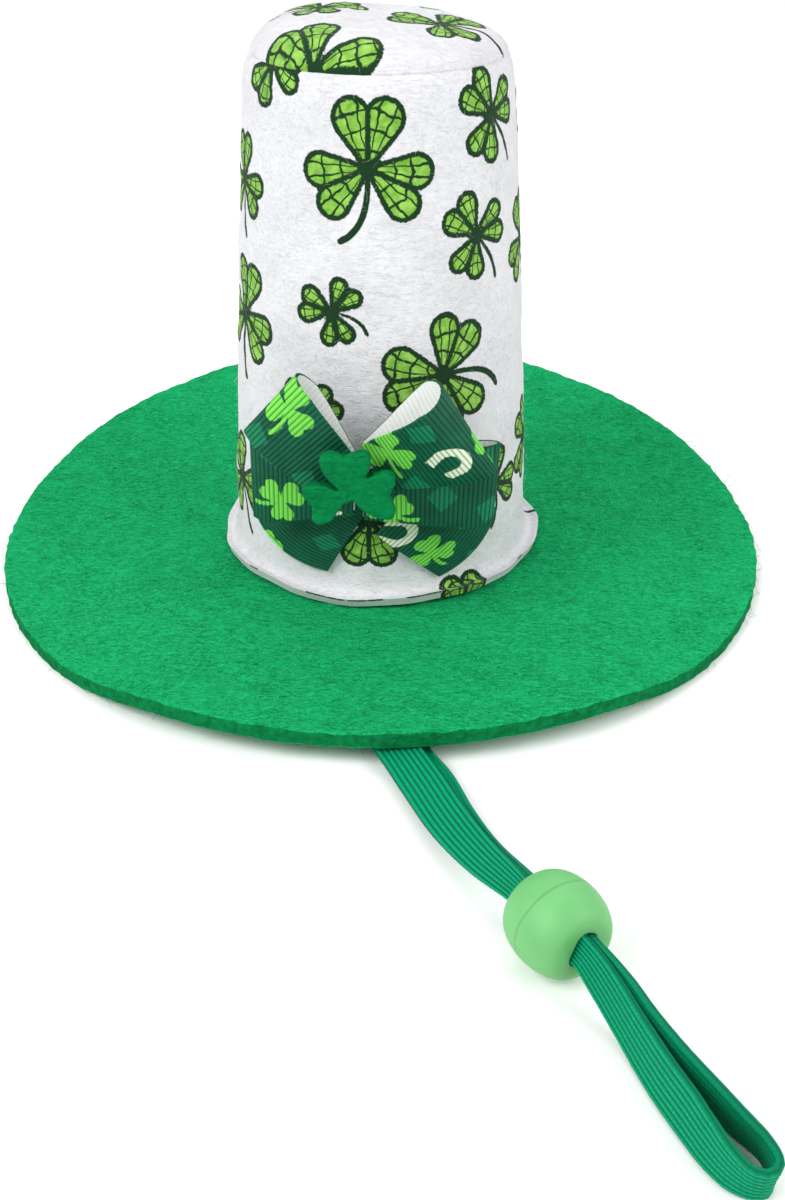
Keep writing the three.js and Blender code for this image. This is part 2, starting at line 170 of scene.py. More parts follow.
# Ribbon print, over one repeat along the ribbon: motif, place along, place across, size, heading.
RIBBON_REPEAT = 40.0
RIBBON_PRINT = [
    ("clover", 4.0, 2.6, 3.9, 70),
    ("check", 4.6, -4.9, 1.6, 20),
    ("horseshoe", 11.6, -2.3, 2.9, 200),
    ("check", 11.0, 4.8, 1.7, -15),
    ("clover", 19.2, -3.2, 3.3, 150),
    ("check", 20.4, 4.2, 1.6, 30),
    ("check", 27.0, -1.0, 1.7, 40),
    ("check", 32.6, 4.4, 1.8, 10),
    ("check", 34.4, -3.9, 1.6, 28),
]

# A printed horseshoe, in its size
HORSESHOE_R, HORSESHOE_HALF, HORSESHOE_LEG, HORSESHOE_SPREAD = 0.75, 0.25, 0.85, 0.2

# Ribbon tails on the crown, by their corners: arc round the front and height. Their print starts
# as far along the repeat as start says.
TAILS = [
    {"name": "left", "root": ((-1.6, 21.0), (-7.6, 25.8)), "end": ((-8.1, 9.4), (-22.2, 15.6)),
     "start": 24.0},
    {"name": "right", "root": ((-0.6, 16.6), (4.4, 22.8)), "end": ((9.2, 8.2), (20.0, 17.0)),
     "start": 9.0},
]

# Ribbon loops: root and bend as x, distance out from the crown's front and height; the width at
# the bend; turn and lean of the bend line in degrees; how far the loop gapes, and how much more
# so at its upper edge; where its print starts.
LOOPS = [
    {"name": "left", "root": (-3.6, 3.45, 25.6), "bend": (-19.2, -0.8, 26.4), "width": 15.0,
     "turn": 0, "lean": 0, "gape": 4.6, "flare": 0.0, "start": 8.0},
    {"name": "right", "root": (-2.6, 3.7, 24.6), "bend": (17.4, 1.8, 25.6), "width": 13.0,
     "turn": 3, "lean": 0, "gape": 4.2, "flare": 0.0, "start": 15.0},
    {"name": "upper_left", "root": (-5.2, 6.6, 27.6), "bend": (-15.5, 5.6, 39.9), "width": 12.6,
     "turn": 40, "lean": -10, "gape": 4.8, "flare": 0.5, "start": 30.0},
    {"name": "upper_right", "root": (-0.6, 6.7, 30.6), "bend": (12.9, 9.6, 37.2), "width": 15.0,
     "turn": -33, "lean": -6, "gape": 8.8, "flare": 0.7, "start": 0.0},
]

# Felt shamrock on the bow: x, distance out, height, and its leaves' headings and lengths.
APPLIQUE_AT = (-4.6, 9.5, 27.9)
APPLIQUE_LEAVES = [(92, 0.93), (198, 0.82), (360, 0.95)]
APPLIQUE_THICK, APPLIQUE_CURL = 2.0, 0.27
# One leaf's two sides by their curves' points, and the rounding of the edge as size and height
APPLIQUE_CURVES = [((1.0, -0.8), (3.0, -4.2), (9.8, -6.0), (6.5, 0.0)),
                   ((6.5, 0.0), (9.8, 6.0), (3.0, 4.2), (1.0, 0.8))]
APPLIQUE_EDGE = [(0.9, -1.0), (0.97, -0.92), (1.0, -0.6), (1.0, 0.0), (1.0, 0.6), (0.97, 0.92),
                 (0.9, 1.0)]

# The strap's route: x, y and z of its middle, the tilt of its width in degrees, and its width.
STRAP_ROUTE = [
    (-27.0, -9.0, 0.8, 0, 6.0),
    (-20.5, -25.0, 0.8, 0, 6.0),
    (-11.2, -44.0, 0.9, 0, 6.0),
    (-3.6, -56.0, 1.45, 0, 6.0),
    (0.4, -62.2, 1.8, 0, 6.0),
    (2.5, -66.4, 1.95, 3, 6.0),
    (5.7, -74.5, 2.3, 10, 6.0),
    (9.1, -84.0, 3.1, 20, 5.6),
    (12.6, -92.4, 4.5, 40, 4.8),
    (17.24, -101.23, 6.21, 66, 3.8),
    (20.34, -106.6, 6.21, 66, 3.8),
    (23.44, -111.97, 6.21, 66, 3.8),
    (25.5, -115.4, 4.8, 70, 4.6),
    (27.2, -119.0, 3.7, 76, 5.4),
    (28.7, -123.0, 3.2, 78, 6.0),
    (30.1, -127.0, 3.15, 77, 6.0),
    (31.8, -131.2, 3.15, 77, 6.0),
    (33.4, -135.2, 3.15, 82, 6.0),
    (34.9, -138.0, 3.15, 92, 6.0),
    (36.4, -139.5, 3.1, 104, 6.0),
    (37.4, -139.9, 3.1, 109, 6.0),
    (38.2, -139.8, 3.1, 107, 6.0),
    (38.75, -139.2, 3.1, 100, 6.0),
    (39.0, -138.2, 3.1, 91, 6.0),
    (39.0, -136.9, 3.12, 82, 6.0),
    (38.7, -135.5, 3.12, 76, 6.0),
    (38.05, -134.2, 3.12, 75, 6.0),
    (37.0, -132.6, 3.12, 78, 6.0),
    (35.5, -130.2, 3.12, 82, 6.0),
    (33.4, -127.0, 3.15, 88, 6.0),
    (31.2, -123.3, 3.2, 94, 6.0),
    (29.2, -119.6, 3.6, 101, 5.4),
    (27.3, -115.9, 4.4, 108, 4.8),
    (24.46, -111.37, 5.69, 114, 3.8),
    (21.36, -106.0, 5.69, 114, 3.8),
    (18.26, -100.63, 5.69, 114, 3.8),
    (13.7, -91.9, 3.6, 142, 4.8),
    (10.4, -83.6, 2.3, 158, 5.6),
    (7.4, -73.5, 1.35, 170, 6.0),
    (4.3, -65.3, 0.74, 177, 6.0),
    (4.7, -59.5, 0.65, 180, 6.0),
    (8.4, -48.0, 0.7, 180, 6.0),
    (16.0, -31.5, 0.8, 180, 6.0),
    (24.0, -15.5, 0.8, 180, 6.0),
    (27.0, -9.0, 0.8, 180, 6.0),
]

# Elastic: rows along it and columns across, the flat share of its width, the depth of the ribs on
# either face, and the weave's depth and pitch
STRAP_STEPS, STRAP_COLUMNS, STRAP_FLAT = 420, 49, 0.93
OUTER_RIB, INNER_RIB = 0.20, 0.08
WEAVE_DEPTH, WEAVE_PITCH = 0.022, 0.42

# Slider bead
BEAD_AT = (20.85, -106.3, 5.95)
BEAD_HEADING = (0.5, -0.866, 0.0)
BEAD_TILT = 66
BEAD_END_R = 3.1
BEAD_HALF_LENGTH = 5.0
BEAD_SLOT, SLOT_ROUNDING = (4.4, 2.9), (0.55, 0.75)
BEAD_ROUNDING = 0.92
BEAD_AROUND = 96
BEAD_LIP, LIP_FLARE = 0.28, 0.10
SEAM_ANGLE, SEAM_DEPTH, BEAD_UNEVEN = 0.03, 0.04, 0.05

# Camera: place, pitch down in degrees, and lens
CAMERA_AT = (1.97, -240.0, 126.4)
CAMERA_PITCH = 30.14
CAMERA_LENS = 46.2

# Lights: name, place and size in metres, the setting of their power, and their share of it
LIGHTS = [
    ("key_light", (-0.52, -0.34, 0.56), 0.5, "key", 1.0),
    ("fill_light", (0.6, -0.35, 0.5), 0.6, "fill", 1.0),
    ("top_light", (0.0, 0.45, 0.85), 0.8, "fill", 0.62),
]
LIGHT_AIM = (0, -0.03, 0.03)


# Curves and surfaces

def smoothstep(x, low, high):
    share = np.clip((x - low) / (high - low), 0, 1)
    return share * share * (3 - 2 * share)


def unit(vectors):
    vectors = np.asarray(vectors, float)
    return vectors / np.maximum(np.linalg.norm(vectors, axis=-1, keepdims=True), 1e-12)


def all_round(count):
    """Angles of count points round a full turn."""
    return np.linspace(0, 2 * math.pi, count, endpoint=False)


def ripple(points, rows):
    """Smooth unevenness over points, from waves in random directions for each row."""
    total = 0
    for height, wavelength, seed, waves in rows:
        draw = np.random.default_rng(seed)
        ways = unit(draw.normal(size=(waves, 3)))
        pace = 2 * math.pi / (wavelength * draw.uniform(0.6, 1.6, waves))
        phase = draw.uniform(0, 2 * math.pi, waves)
        swell = np.sin(points @ ways.T * pace + phase).sum(-1) / math.sqrt(waves / 2)
        total = total + height * swell
    return total


def push_out(points, turn, reach):
    """Moves rings of points away from the upright axis, by reach in millimetres."""
    points[..., 0] += reach * np.cos(turn)
    points[..., 1] += reach * np.sin(turn)


def curve_through(points, at):
    """Points of the smooth curve through points, at places counted in points from the first."""
    points = np.asarray(points, float)
    ends = np.vstack([2 * points[0] - points[1], points, 2 * points[-1] - points[-2]])
    at = np.clip(np.asarray(at, float), 0, len(points) - 1)
    first = np.minimum(at.astype(int), len(points) - 2)
    w = (at - first)[:, None]
    a, b, c, d = (ends[first + k] for k in range(4))
    g0, g1, g2 = (np.maximum(np.linalg.norm(q - p, axis=1, keepdims=True) ** 0.5, 1e-4)
                  for p, q in ((a, b), (b, c), (c, d)))
    leave = ((b - a) / g0 - (c - a) / (g0 + g1) + (c - b) / g1) * g1
    reach = ((c - b) / g1 - (d - b) / (g1 + g2) + (d - c) / g2) * g1
    return (b + leave * w + (3 * (c - b) - 2 * leave - reach) * w ** 2
            + (2 * (b - c) + leave + reach) * w ** 3)


def run_along(points):
    """How far along a polyline each of its points is."""
    return np.concatenate([[0], np.cumsum(np.linalg.norm(np.diff(points, axis=0), axis=1))])


def evenly(points, count):
    """count points spaced evenly along a polyline, and how far along each one is."""
    run = run_along(points)
    far = np.linspace(0, run[-1], count)
    return np.stack([np.interp(far, run, column) for column in points.T], -1), far


def beside_way(line):
    """Unit vectors across a line in a plane, to the right of its way."""
    way = unit(np.gradient(line, axis=0))
    return np.stack([way[:, 1], -way[:, 0]], -1)


def brim_underside(x, y):
    feet = smoothstep(np.abs(x), ARCH_FLAT_X, ARCH_FOOT_X) * (1 - smoothstep(y, 0, ARCH_FADE_Y))
    front = np.clip((y - ARCH_RAMP_Y) / (-BRIM_RY - ARCH_RAMP_Y), 0, 1)
    back = np.maximum(y, 0) / BRIM_RY
    return (1 - feet) * (ARCH_SEAT + (ARCH_FRONT - ARCH_SEAT) * front) + BACK_LIFT * back ** 2


def cone_radius(z):
    share = (z - CONE_LOW_Z) / (CONE_HIGH_Z - CONE_LOW_Z)
    bulge = CONE_BULGE * 4 * share * (1 - share)
    return CONE_LOW_R + (CONE_HIGH_R - CONE_LOW_R) * share + bulge


def on_crown(arc, z, out):
    """Points beside the crown's front: arc runs round the wall from the middle."""
    r = cone_radius(z)
    turn = arc / r
    return np.stack([(r + out) * np.sin(turn), CROWN_Y - (r + out) * np.cos(turn), z], -1)


def bow_place(x, out, z):
    """A point before the crown's front at the bow's height, out from the felt."""
    return np.array([x, CROWN_Y - cone_radius(BOW_Z) - out, z])


def upright_side(way, tilt):
    """Unit vectors square to level ways, turned up out of the floor by tilt."""
    return unit(np.cross(UP, way)) * np.cos(tilt) + UP * np.sin(tilt)


# Meshes

def add_mesh(name, points, faces):
    """A smooth mesh object of points in millimetres, with its faces turned outwards."""
    points = np.asarray(points, float)
    quads = np.array([f for f in faces if len(f) == 4])
    a, b, c, d = (points[quads[:, k]] for k in range(4))
    volume = (a * np.cross(b, c)).sum() + (a * np.cross(c, d)).sum()
    if volume < 0:
        faces = [tuple(reversed(f)) for f in faces]
    mesh = bpy.data.meshes.new(name)
    mesh.from_pydata((points * MM).tolist(), [], faces)
    mesh.validate()
    mesh.shade_smooth()
    return add_object(name, mesh)


def add_object(name, data):
    made = bpy.data.objects.new(name, data)
    bpy.context.scene.collection.objects.link(made)
    return made


def loft(name, rings, wrap=False, ends=None):
    """A mesh skinned over closed rings of points. ends closes the first and last ring, as a
    strip across a flat ring or as one face."""
    rings = np.asarray(rings, float)
    count, sides = rings.shape[:2]
    here = np.arange(count if wrap else count - 1)[:, None] * sides
    after = (here + sides) % (count * sides)
    j = np.arange(sides)[None, :]
    beside = (j + 1) % sides
    quads = np.stack([here + j, here + beside, after + beside, after + j], -1)
    faces = [tuple(f) for f in quads.reshape(-1, 4).tolist()]
    for start, turned in ((0, True), ((count - 1) * sides, False)):
        caps = []
        if ends == "strip":
            caps = [(start + k, start + k + 1, start + sides - 2 - k, start + sides - 1 - k)
                    for k in range(sides // 2 - 1)]
        elif ends == "face":
            caps = [tuple(range(start, start + sides))]
        faces += [tuple(reversed(f)) if turned else f for f in caps]
    return add_mesh(name, rings.reshape(-1, 3), faces)


def made_by_modifiers(piece):
    """Turns a piece's modifiers into its plain mesh."""
    depsgraph = bpy.context.evaluated_depsgraph_get()
    mesh = bpy.data.meshes.new_from_object(piece.evaluated_get(depsgraph))
    if not mesh.polygons:
        raise RuntimeError(f"{piece.name} came out empty")
    piece.modifiers.clear()
    piece.data = mesh
    return mesh


def set_field(piece, name, values):
    fields = piece.data.attributes
    made = fields.get(name) or fields.new(name, "FLOAT", "POINT")
    made.data.foreach_set("value", np.asarray(values, np.float32).ravel())


def finish_piece(piece, material, node=None):
    """Dresses a piece, and puts it on the hat in place of a node of the frame."""
    piece.data.materials.clear()
    for one in material if isinstance(material, list) else [material]:
        piece.data.materials.append(one)
    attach(piece, "root")
    if node:
        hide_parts(node)


# Printed shapes, as distances in millimetres that are negative inside

def lobe(across, along, small, large, reach):
    """Distance to a drop that widens from radius small at the origin to radius large at reach."""
    lean = (small - large) / reach
    upright = math.sqrt(1 - lean * lean)
    x = np.abs(across)
    rise = along * upright - x * lean
    side = x * upright + along * lean - small
    near, far = np.hypot(x, along) - small, np.hypot(x, along - reach) - large
    return np.where(rise < 0, near, np.where(rise > upright * reach, far, side))


def segment_gap(px, py, ax, ay, bx, by):
    run = ((px - ax) * (bx - ax) + (py - ay) * (by - ay)) / ((bx - ax) ** 2 + (by - ay) ** 2)
    run = np.clip(run, 0, 1)
    return np.hypot(px - ax - run * (bx - ax), py - ay - run * (by - ay))


def turned_to(px, py, way):
    """Places along and across a way given in radians."""
    return px * math.cos(way) + py * math.sin(way), py * math.cos(way) - px * math.sin(way)


def shamrock(px, py, size, heading, bend):
    """Fields of one shamrock about its middle: leaf edge, stem, and two ways of leaf veins."""
    leaf = np.full(np.shape(px), 99.0)
    vein_a, vein_b = np.zeros(np.shape(px)), np.zeros(np.shape(px))
    for turn, share, splay, large in LEAVES:
        middle = math.radians(heading + turn)
        beside = np.abs(turned_to(px, py, middle)[1]) + MIDLINE
        leaf_size = size * share
        for side in (-1, 1):
            along, across = (place / leaf_size for place in turned_to(
                px, py, middle + math.radians(side * splay)))
            drop = lobe(across, along, LOBE_START, large, LOBE_REACH) * leaf_size
            gap = np.maximum(drop, -beside)
            nearer = gap < leaf
            leaf = np.where(nearer, gap, leaf)
            half = LOBE_START + (large - LOBE_START) * np.clip(along / LOBE_REACH, 0, 1.2)
            arcs = VEIN_ARCS * np.hypot(along, 0.7 * across) + 0.004 * turn
            vein_a = np.where(nearer, VEIN_LINES * across / half + 0.5, vein_a)
            vein_b = np.where(nearer, arcs, vein_b)
    steps = np.linspace(0, 1, 11)
    ways = math.radians(heading + 180) + STEM_HOOK * bend * steps[:-1] ** 2
    pace = STEM_LENGTH * size / len(ways)
    sx, sy = (np.concatenate([[0], np.cumsum(turned)]) * pace
              for turned in (np.cos(ways), np.sin(ways)))
    stem = np.hypot(px, py) - HUB * size
    for k in range(len(ways)):
        thick = STEM_HALF * size * (1 + 0.4 * steps[k + 1])
        gap = segment_gap(px, py, sx[k], sy[k], sx[k + 1], sy[k + 1])
        stem = np.minimum(stem, gap - thick)
    return leaf, stem, vein_a, vein_b


def printed(piece, places, rows, marks=99.0):
    """Sets the print's fields on a piece. places gives, for one row, each point's offset from
    the row's middle, and marks is the distance to other printed lines."""
    leaf = 99.0
    stem, vein_a, vein_b = marks, 0.0, 0.0
    for row in rows:
        one = shamrock(*places(row), *row[2:])
        nearer = one[0] < leaf
        leaf, stem = np.minimum(one[0], leaf), np.minimum(one[1], stem)
        vein_a, vein_b = np.where(nearer, one[2], vein_a), np.where(nearer, one[3], vein_b)
    for name, values in (("leaf", leaf), ("stem", stem), ("vein_a", vein_a), ("vein_b", vein_b)):
        set_field(piece, name, np.clip(values, -20, 20))


def ribbon_fields(along, across):
    """Distances to the ribbon's clovers, horseshoes and checks."""
    found = {kind: np.full(along.shape, 9.0) for kind in ("clover", "horseshoe", "check")}
    for kind, place, side, size, heading in RIBBON_PRINT:
        px = (along - place + RIBBON_REPEAT / 2) % RIBBON_REPEAT - RIBBON_REPEAT / 2
        py = across - side
        qx, qy = turned_to(px, py, math.radians(heading))
        if kind == "clover":
            leaf, stem, _, _ = shamrock(px, py, size, heading, 0.2)
            gap = np.minimum(leaf, stem - 0.14)
        elif kind == "horseshoe":
            r, half = HORSESHOE_R * size, HORSESHOE_HALF * size
            bow = np.abs(np.hypot(qx, qy) - r) - half
            legs = np.abs(np.abs(qy) - r + HORSESHOE_SPREAD * qx) - half
            gap = np.where(qx > 0, np.maximum(legs, qx - HORSESHOE_LEG * size), bow)
        else:
            gap = np.maximum(np.abs(qx), np.abs(qy)) - size
        found[kind] = np.minimum(found[kind], gap)
    return found


# Materials

def add_node(tree, kind, inputs=None, **settings):
    made = tree.nodes.new(kind)
    for key, value in settings.items():
        setattr(made, key, value)
    for key, value in (inputs or {}).items():
        if isinstance(value, bpy.types.NodeSocket):
            tree.links.new(value, made.inputs[key])
        else:
            made.inputs[key].default_value = value
    return made


def first_out(tree, kind, inputs=None, **settings):
    return add_node(tree, kind, inputs, **settings).outputs[0]


def calc(tree, operation, a, b=0.0, clamp=False):
    return first_out(tree, "ShaderNodeMath", {0: a, 1: b}, operation=operation, use_clamp=clamp)


def times(tree, a, b):
    return calc(tree, "MULTIPLY", a, b)


def plus(tree, a, b):
    return calc(tree, "ADD", a, b)


def rgba(tone):
    return (*tuple(tone)[:3], 1.0)


def dimmed(tone, share):
    return tuple(c * share for c in tone)


def blend_colour(tree, share, low, high, way="MIX"):
    low, high = (tone if isinstance(tone, bpy.types.NodeSocket) else rgba(tone)
                 for tone in (low, high))
    made = add_node(tree, "ShaderNodeMix", {0: share, 6: low, 7: high}, data_type="RGBA",
                    blend_type=way)
    return made.outputs[2]


def ramp(tree, value, low, high):
    """value stretched so that low gives 0 and high gives 1, clamped."""
    return first_out(tree, "ShaderNodeMapRange", {0: value, 1: low, 2: high, 3: 0.0, 4: 1.0})


def field(tree, name):
    return add_node(tree, "ShaderNodeAttribute", attribute_name=name).outputs["Fac"]


def new_material(name):
    material = bpy.data.materials.new(name)
    material.use_nodes = True
    tree = material.node_tree
    tree.nodes.clear()
    shader = add_node(tree, "ShaderNodeBsdfPrincipled")
    add_node(tree, "ShaderNodeOutputMaterial", {"Surface": shader.outputs[0]})
    return material, tree, shader


def set_shader(tree, shader, tone, values):
    """Links the shader's colour and sets its plain inputs."""
    tree.links.new(tone, shader.inputs["Base Color"])
    for label, value in values.items():
        shader.inputs[label].default_value = value


def noise(tree, scale, detail=3.0, stretch=None, turn=0.0, distortion=0.0):
    """Noise on object coordinates, stretched and turned where asked. Scale is per metre."""
    where = add_node(tree, "ShaderNodeTexCoord").outputs["Object"]
    if stretch:
        where = first_out(tree, "ShaderNodeMapping", {
            "Vector": where, "Rotation": (turn * 0.6, turn * 0.4, turn), "Scale": stretch})
    return add_node(tree, "ShaderNodeTexNoise", {
        "Vector": where, "Scale": scale, "Detail": detail, "Distortion": distortion}).outputs["Fac"]


def wobble(tree, scale, detail, reach):
    """Noise about zero."""
    return times(tree, calc(tree, "SUBTRACT", noise(tree, scale, detail), 0.5), reach)


def felt_nap(tree, pace):
    """Matted fibres: thin ridges that cross in several directions, from 0 to 1."""
    total = None
    for turn, way in NAP_WAYS:
        streak = noise(tree, pace, 4.0, way, turn, 0.8)
        off = calc(tree, "ABSOLUTE", calc(tree, "SUBTRACT", streak, 0.5))
        ridge = ramp(tree, off, 0.11, 0.0)
        total = ridge if total is None else calc(tree, "MAXIMUM", total, ridge)
    return total


def add_bump(tree, shader, height, distance, strength):
    bump = first_out(tree, "ShaderNodeBump", {
        "Height": height, "Distance": distance, "Strength": strength})
    tree.links.new(bump, shader.inputs["Normal"])


def felt_material(name, dark, light, pace=470.0, sheen=0.05, bump=0.0002):
    """A felt material, with its tree, its shader and its colour."""
    material, tree, shader = new_material(name)
    nap = felt_nap(tree, pace)
    cloud = ramp(tree, noise(tree, 140.0, 4.0), 0.36, 0.66)
    share = calc(tree, "ADD", times(tree, nap, 0.62), times(tree, cloud, 0.38), True)
    tone = blend_colour(tree, share, dark, light)
    set_shader(tree, shader, tone, {
        "Roughness": 0.95, "Specular IOR Level": 0.06, "Sheen Weight": sheen,
        "Sheen Roughness": 0.5, "Sheen Tint": rgba(light)})
    add_bump(tree, shader, share, bump, 0.9)
    return material, tree, shader, tone


def print_ink(tree, ground, settings):
    """The shamrock print over a ground colour."""
    fray = wobble(tree, 2600.0, 3.0, 0.5)
    leaf = plus(tree, field(tree, "leaf"), fray)
    stem = plus(tree, field(tree, "stem"), times(tree, fray, 0.5))
    wander = wobble(tree, 420.0, 2.0, 0.8)
    fill = ramp(tree, leaf, -0.57, -0.73)
    for name, line, clear in (("vein_a", 0.06, 0.12), ("vein_b", 0.05, 0.10)):
        gap = calc(tree, "PINGPONG", plus(tree, field(tree, name), wander), 0.5)
        fill = times(tree, fill, ramp(tree, gap, line, clear))
    mottle = ramp(tree, noise(tree, 700.0, 3.0), 0.35, 0.65)
    lime = blend_colour(tree, mottle, settings.lime_dark, settings.lime_light)
    tone = blend_colour(tree, ramp(tree, leaf, 0.16, 0.02), ground, settings.ink)
    tone = blend_colour(tree, fill, tone, lime)
    return blend_colour(tree, ramp(tree, stem, 0.10, -0.02), tone, settings.ink)


def crown_material(settings, name, painted_shade_share=1.0):
    # The last argument dims the felt's shade and white, as painted shade for a surface that gets
    # more light.
    material, tree, shader, ground = felt_material(
        name, dimmed(settings.shade, painted_shade_share), dimmed(settings.white, painted_shade_share), 460.0, 0.1, 0.00014)
    # The hem's cut band takes the edge colour: painted shade and painted green bounce light.
    ground = blend_colour(tree, field(tree, "cut"), ground, settings.edge)
    set_shader(tree, shader, print_ink(tree, ground, settings), {"Sheen Tint": (1, 1, 1, 1)})
    return material


def brim_material(settings):
    material, tree, shader, top = felt_material("green_felt", settings.dark, settings.light)
    strands = times(tree, ramp(tree, felt_nap(tree, 560.0), 0.72, 1.0), 0.85)
    top = blend_colour(tree, strands, top, settings.pale)
    # The cut edge gets the darker edge green as painted shade, mottled with lighter specks.
    specks = times(tree, ramp(tree, noise(tree, 900.0, 4.0), 0.4, 0.65), 0.4)
    edge = blend_colour(tree, specks, settings.edge, settings.light)
    set_shader(tree, shader, blend_colour(tree, field(tree, "cut"), top, edge), {})
    return material


def elastic_material(settings):
    material, tree, shader = new_material("green_elastic")
    # The elastic is painted darker between its ribs, as painted shade in the grooves.
    rib = ramp(tree, field(tree, "rib"), 0.1, 0.95)
    thread = calc(tree, "PINGPONG", times(tree, field(tree, "run"), 1.7), 0.5)
    fuzz = noise(tree, 1500.0, 3.0)
    weave = plus(tree, times(tree, thread, 0.5), plus(tree, times(tree, fuzz, 0.5), 0.5))
    tone = blend_colour(tree, times(tree, rib, weave), settings.dark, settings.light)
    set_shader(tree, shader, tone, {"Roughness": 0.62, "Specular IOR Level": 0.08})
    add_bump(tree, shader, plus(tree, thread, fuzz), 0.00012, 0.7)
    return material


def bead_material(settings):
    material, tree, shader = new_material("pale_green_plastic")
    cloud = ramp(tree, noise(tree, 160.0, 3.0), 0.3, 0.7)
    body = blend_colour(tree, cloud, dimmed(settings.bead, 0.86), settings.bead)
    line = times(tree, field(tree, "seam"), 0.5)
    tone = blend_colour(tree, line, body, dimmed(settings.bead, 0.5))
    set_shader(tree, shader, tone, {
        "Roughness": 0.5, "Specular IOR Level": 0.4, "Subsurface Weight": 0.12,
        "Subsurface Radius": (0.0012, 0.0022, 0.0012), "Subsurface Scale": 1.0})
    add_bump(tree, shader, noise(tree, 1800.0, 2.0), 0.00004, 0.35)
    return material


def ribbon_material(settings):
    material, tree, shader = new_material("printed_ribbon")
    fray = wobble(tree, 2200.0, 2.0, 0.35)
    tint = ramp(tree, noise(tree, 300.0, 3.0), 0.3, 0.7)
    tone = blend_colour(tree, tint, dimmed(settings.ground, 0.72), settings.ground)
    inks = {"check": settings.check, "horseshoe": settings.cream, "clover": settings.lime}
    for name, ink in inks.items():
        edge = plus(tree, field(tree, name), fray)
        tone = blend_colour(tree, ramp(tree, edge, 0.10, -0.05), tone, ink)
    # The grooves between the ribs are painted darker below, as painted shade.
    painted_groove_shade = ramp(tree, field(tree, "rib"), 0.0, 0.75)
    tone = blend_colour(tree, 0.8, tone, painted_groove_shade, "MULTIPLY")
    set_shader(tree, shader, tone, {"Roughness": 0.55, "Specular IOR Level": 0.16})
    add_bump(tree, shader, noise(tree, 2600.0, 2.0), 0.00005, 0.5)
    return material


def reverse_material(settings):
    material, tree, shader = new_material("ribbon_reverse")
    # The reverse is painted darker in the grooves between the ribs, as painted shade.
    painted_groove_shade = ramp(tree, field(tree, "rib"), 0.0, 0.8)
    tone = blend_colour(tree, painted_groove_shade, dimmed(settings.reverse, 0.86), settings.reverse)
    set_shader(tree, shader, tone, {"Roughness": 0.6})
    add_bump(tree, shader, noise(tree, 2600.0, 2.0), 0.00004, 0.5)
    return material


def floor_material(settings):
    material, tree, shader = new_material("pale_floor")
    tone = blend_colour(tree, noise(tree, 3.0, 2.0), dimmed(settings.floor, 0.985), settings.floor)
    set_shader(tree, shader, tone, {"Roughness": 0.9})
    return material


# Fibres that stand out of felt, scattered by geometry nodes

def fibre_tree(material):
    """A tree that scatters bent fibres by a mesh's nap field, and its inputs' identifiers."""
    tree = bpy.data.node_groups.new("stray_fibres", "GeometryNodeTree")
    face = tree.interface
    face.new_socket("Geometry", in_out="INPUT", socket_type="NodeSocketGeometry")
    sockets = {}
    for label in ("Density", "Length", "Radius", "Lie", "Seed"):
        kind = "NodeSocketInt" if label == "Seed" else "NodeSocketFloat"
        sockets[label] = face.new_socket(label, in_out="INPUT", socket_type=kind).identifier
    face.new_socket("Geometry", in_out="OUTPUT", socket_type="NodeSocketGeometry")
    given = tree.nodes.new("NodeGroupInput").outputs
    nap = add_node(tree, "GeometryNodeInputNamedAttribute", {"Name": "nap"}, data_type="FLOAT")
    points = add_node(tree, "GeometryNodeDistributePointsOnFaces", {
        "Mesh": given["Geometry"], "Seed": given["Seed"],
        "Density": times(tree, given["Density"], nap.outputs["Attribute"])})
    line = first_out(tree, "GeometryNodeCurveQuadraticBezier", {
        "Resolution": 4, "Start": (0, 0, 0), "Middle": (0.12, 0.05, 0.5), "End": (-0.1, 0.22, 1.0)})
    thin = first_out(tree, "GeometryNodeCurvePrimitiveCircle", {
        "Resolution": 3, "Radius": given["Radius"]})
    strand = first_out(tree, "GeometryNodeCurveToMesh", {
        "Curve": line, "Profile Curve": thin, "Fill Caps": True})
    low = first_out(tree, "ShaderNodeCombineXYZ", {0: given["Lie"], 1: -0.4, 2: 0.0})
    high = first_out(tree, "ShaderNodeCombineXYZ", {0: 1.5, 1: 0.4, 2: 6.283})
    toss = first_out(tree, "FunctionNodeRandomValue", {0: low, 1: high, "Seed": given["Seed"]},
                     data_type="FLOAT_VECTOR")
    spin = add_node(tree, "ShaderNodeSeparateXYZ", {0: toss}).outputs
    way = points.outputs["Rotation"]
    for angles in ({2: spin[2]}, {0: spin[0], 1: spin[1]}):
        turn = first_out(tree, "FunctionNodeEulerToRotation", {
            0: first_out(tree, "ShaderNodeCombineXYZ", angles)})
        way = first_out(tree, "FunctionNodeRotateRotation", {0: way, 1: turn},
                        rotation_space="LOCAL")
    share = add_node(tree, "FunctionNodeRandomValue", {2: 0.35, 3: 1.0, "Seed": given["Seed"]},
                     data_type="FLOAT")
    scatter = first_out(tree, "GeometryNodeInstanceOnPoints", {
        "Points": points.outputs["Points"], "Instance": strand, "Rotation": way,
        "Scale": times(tree, share.outputs[1], given["Length"])})
    real = first_out(tree, "GeometryNodeRealizeInstances", {0: scatter})
    dressed = first_out(tree, "GeometryNodeSetMaterial", {"Geometry": real, "Material": material})
    add_node(tree, "NodeGroupOutput", {0: dressed})
    return tree, sockets


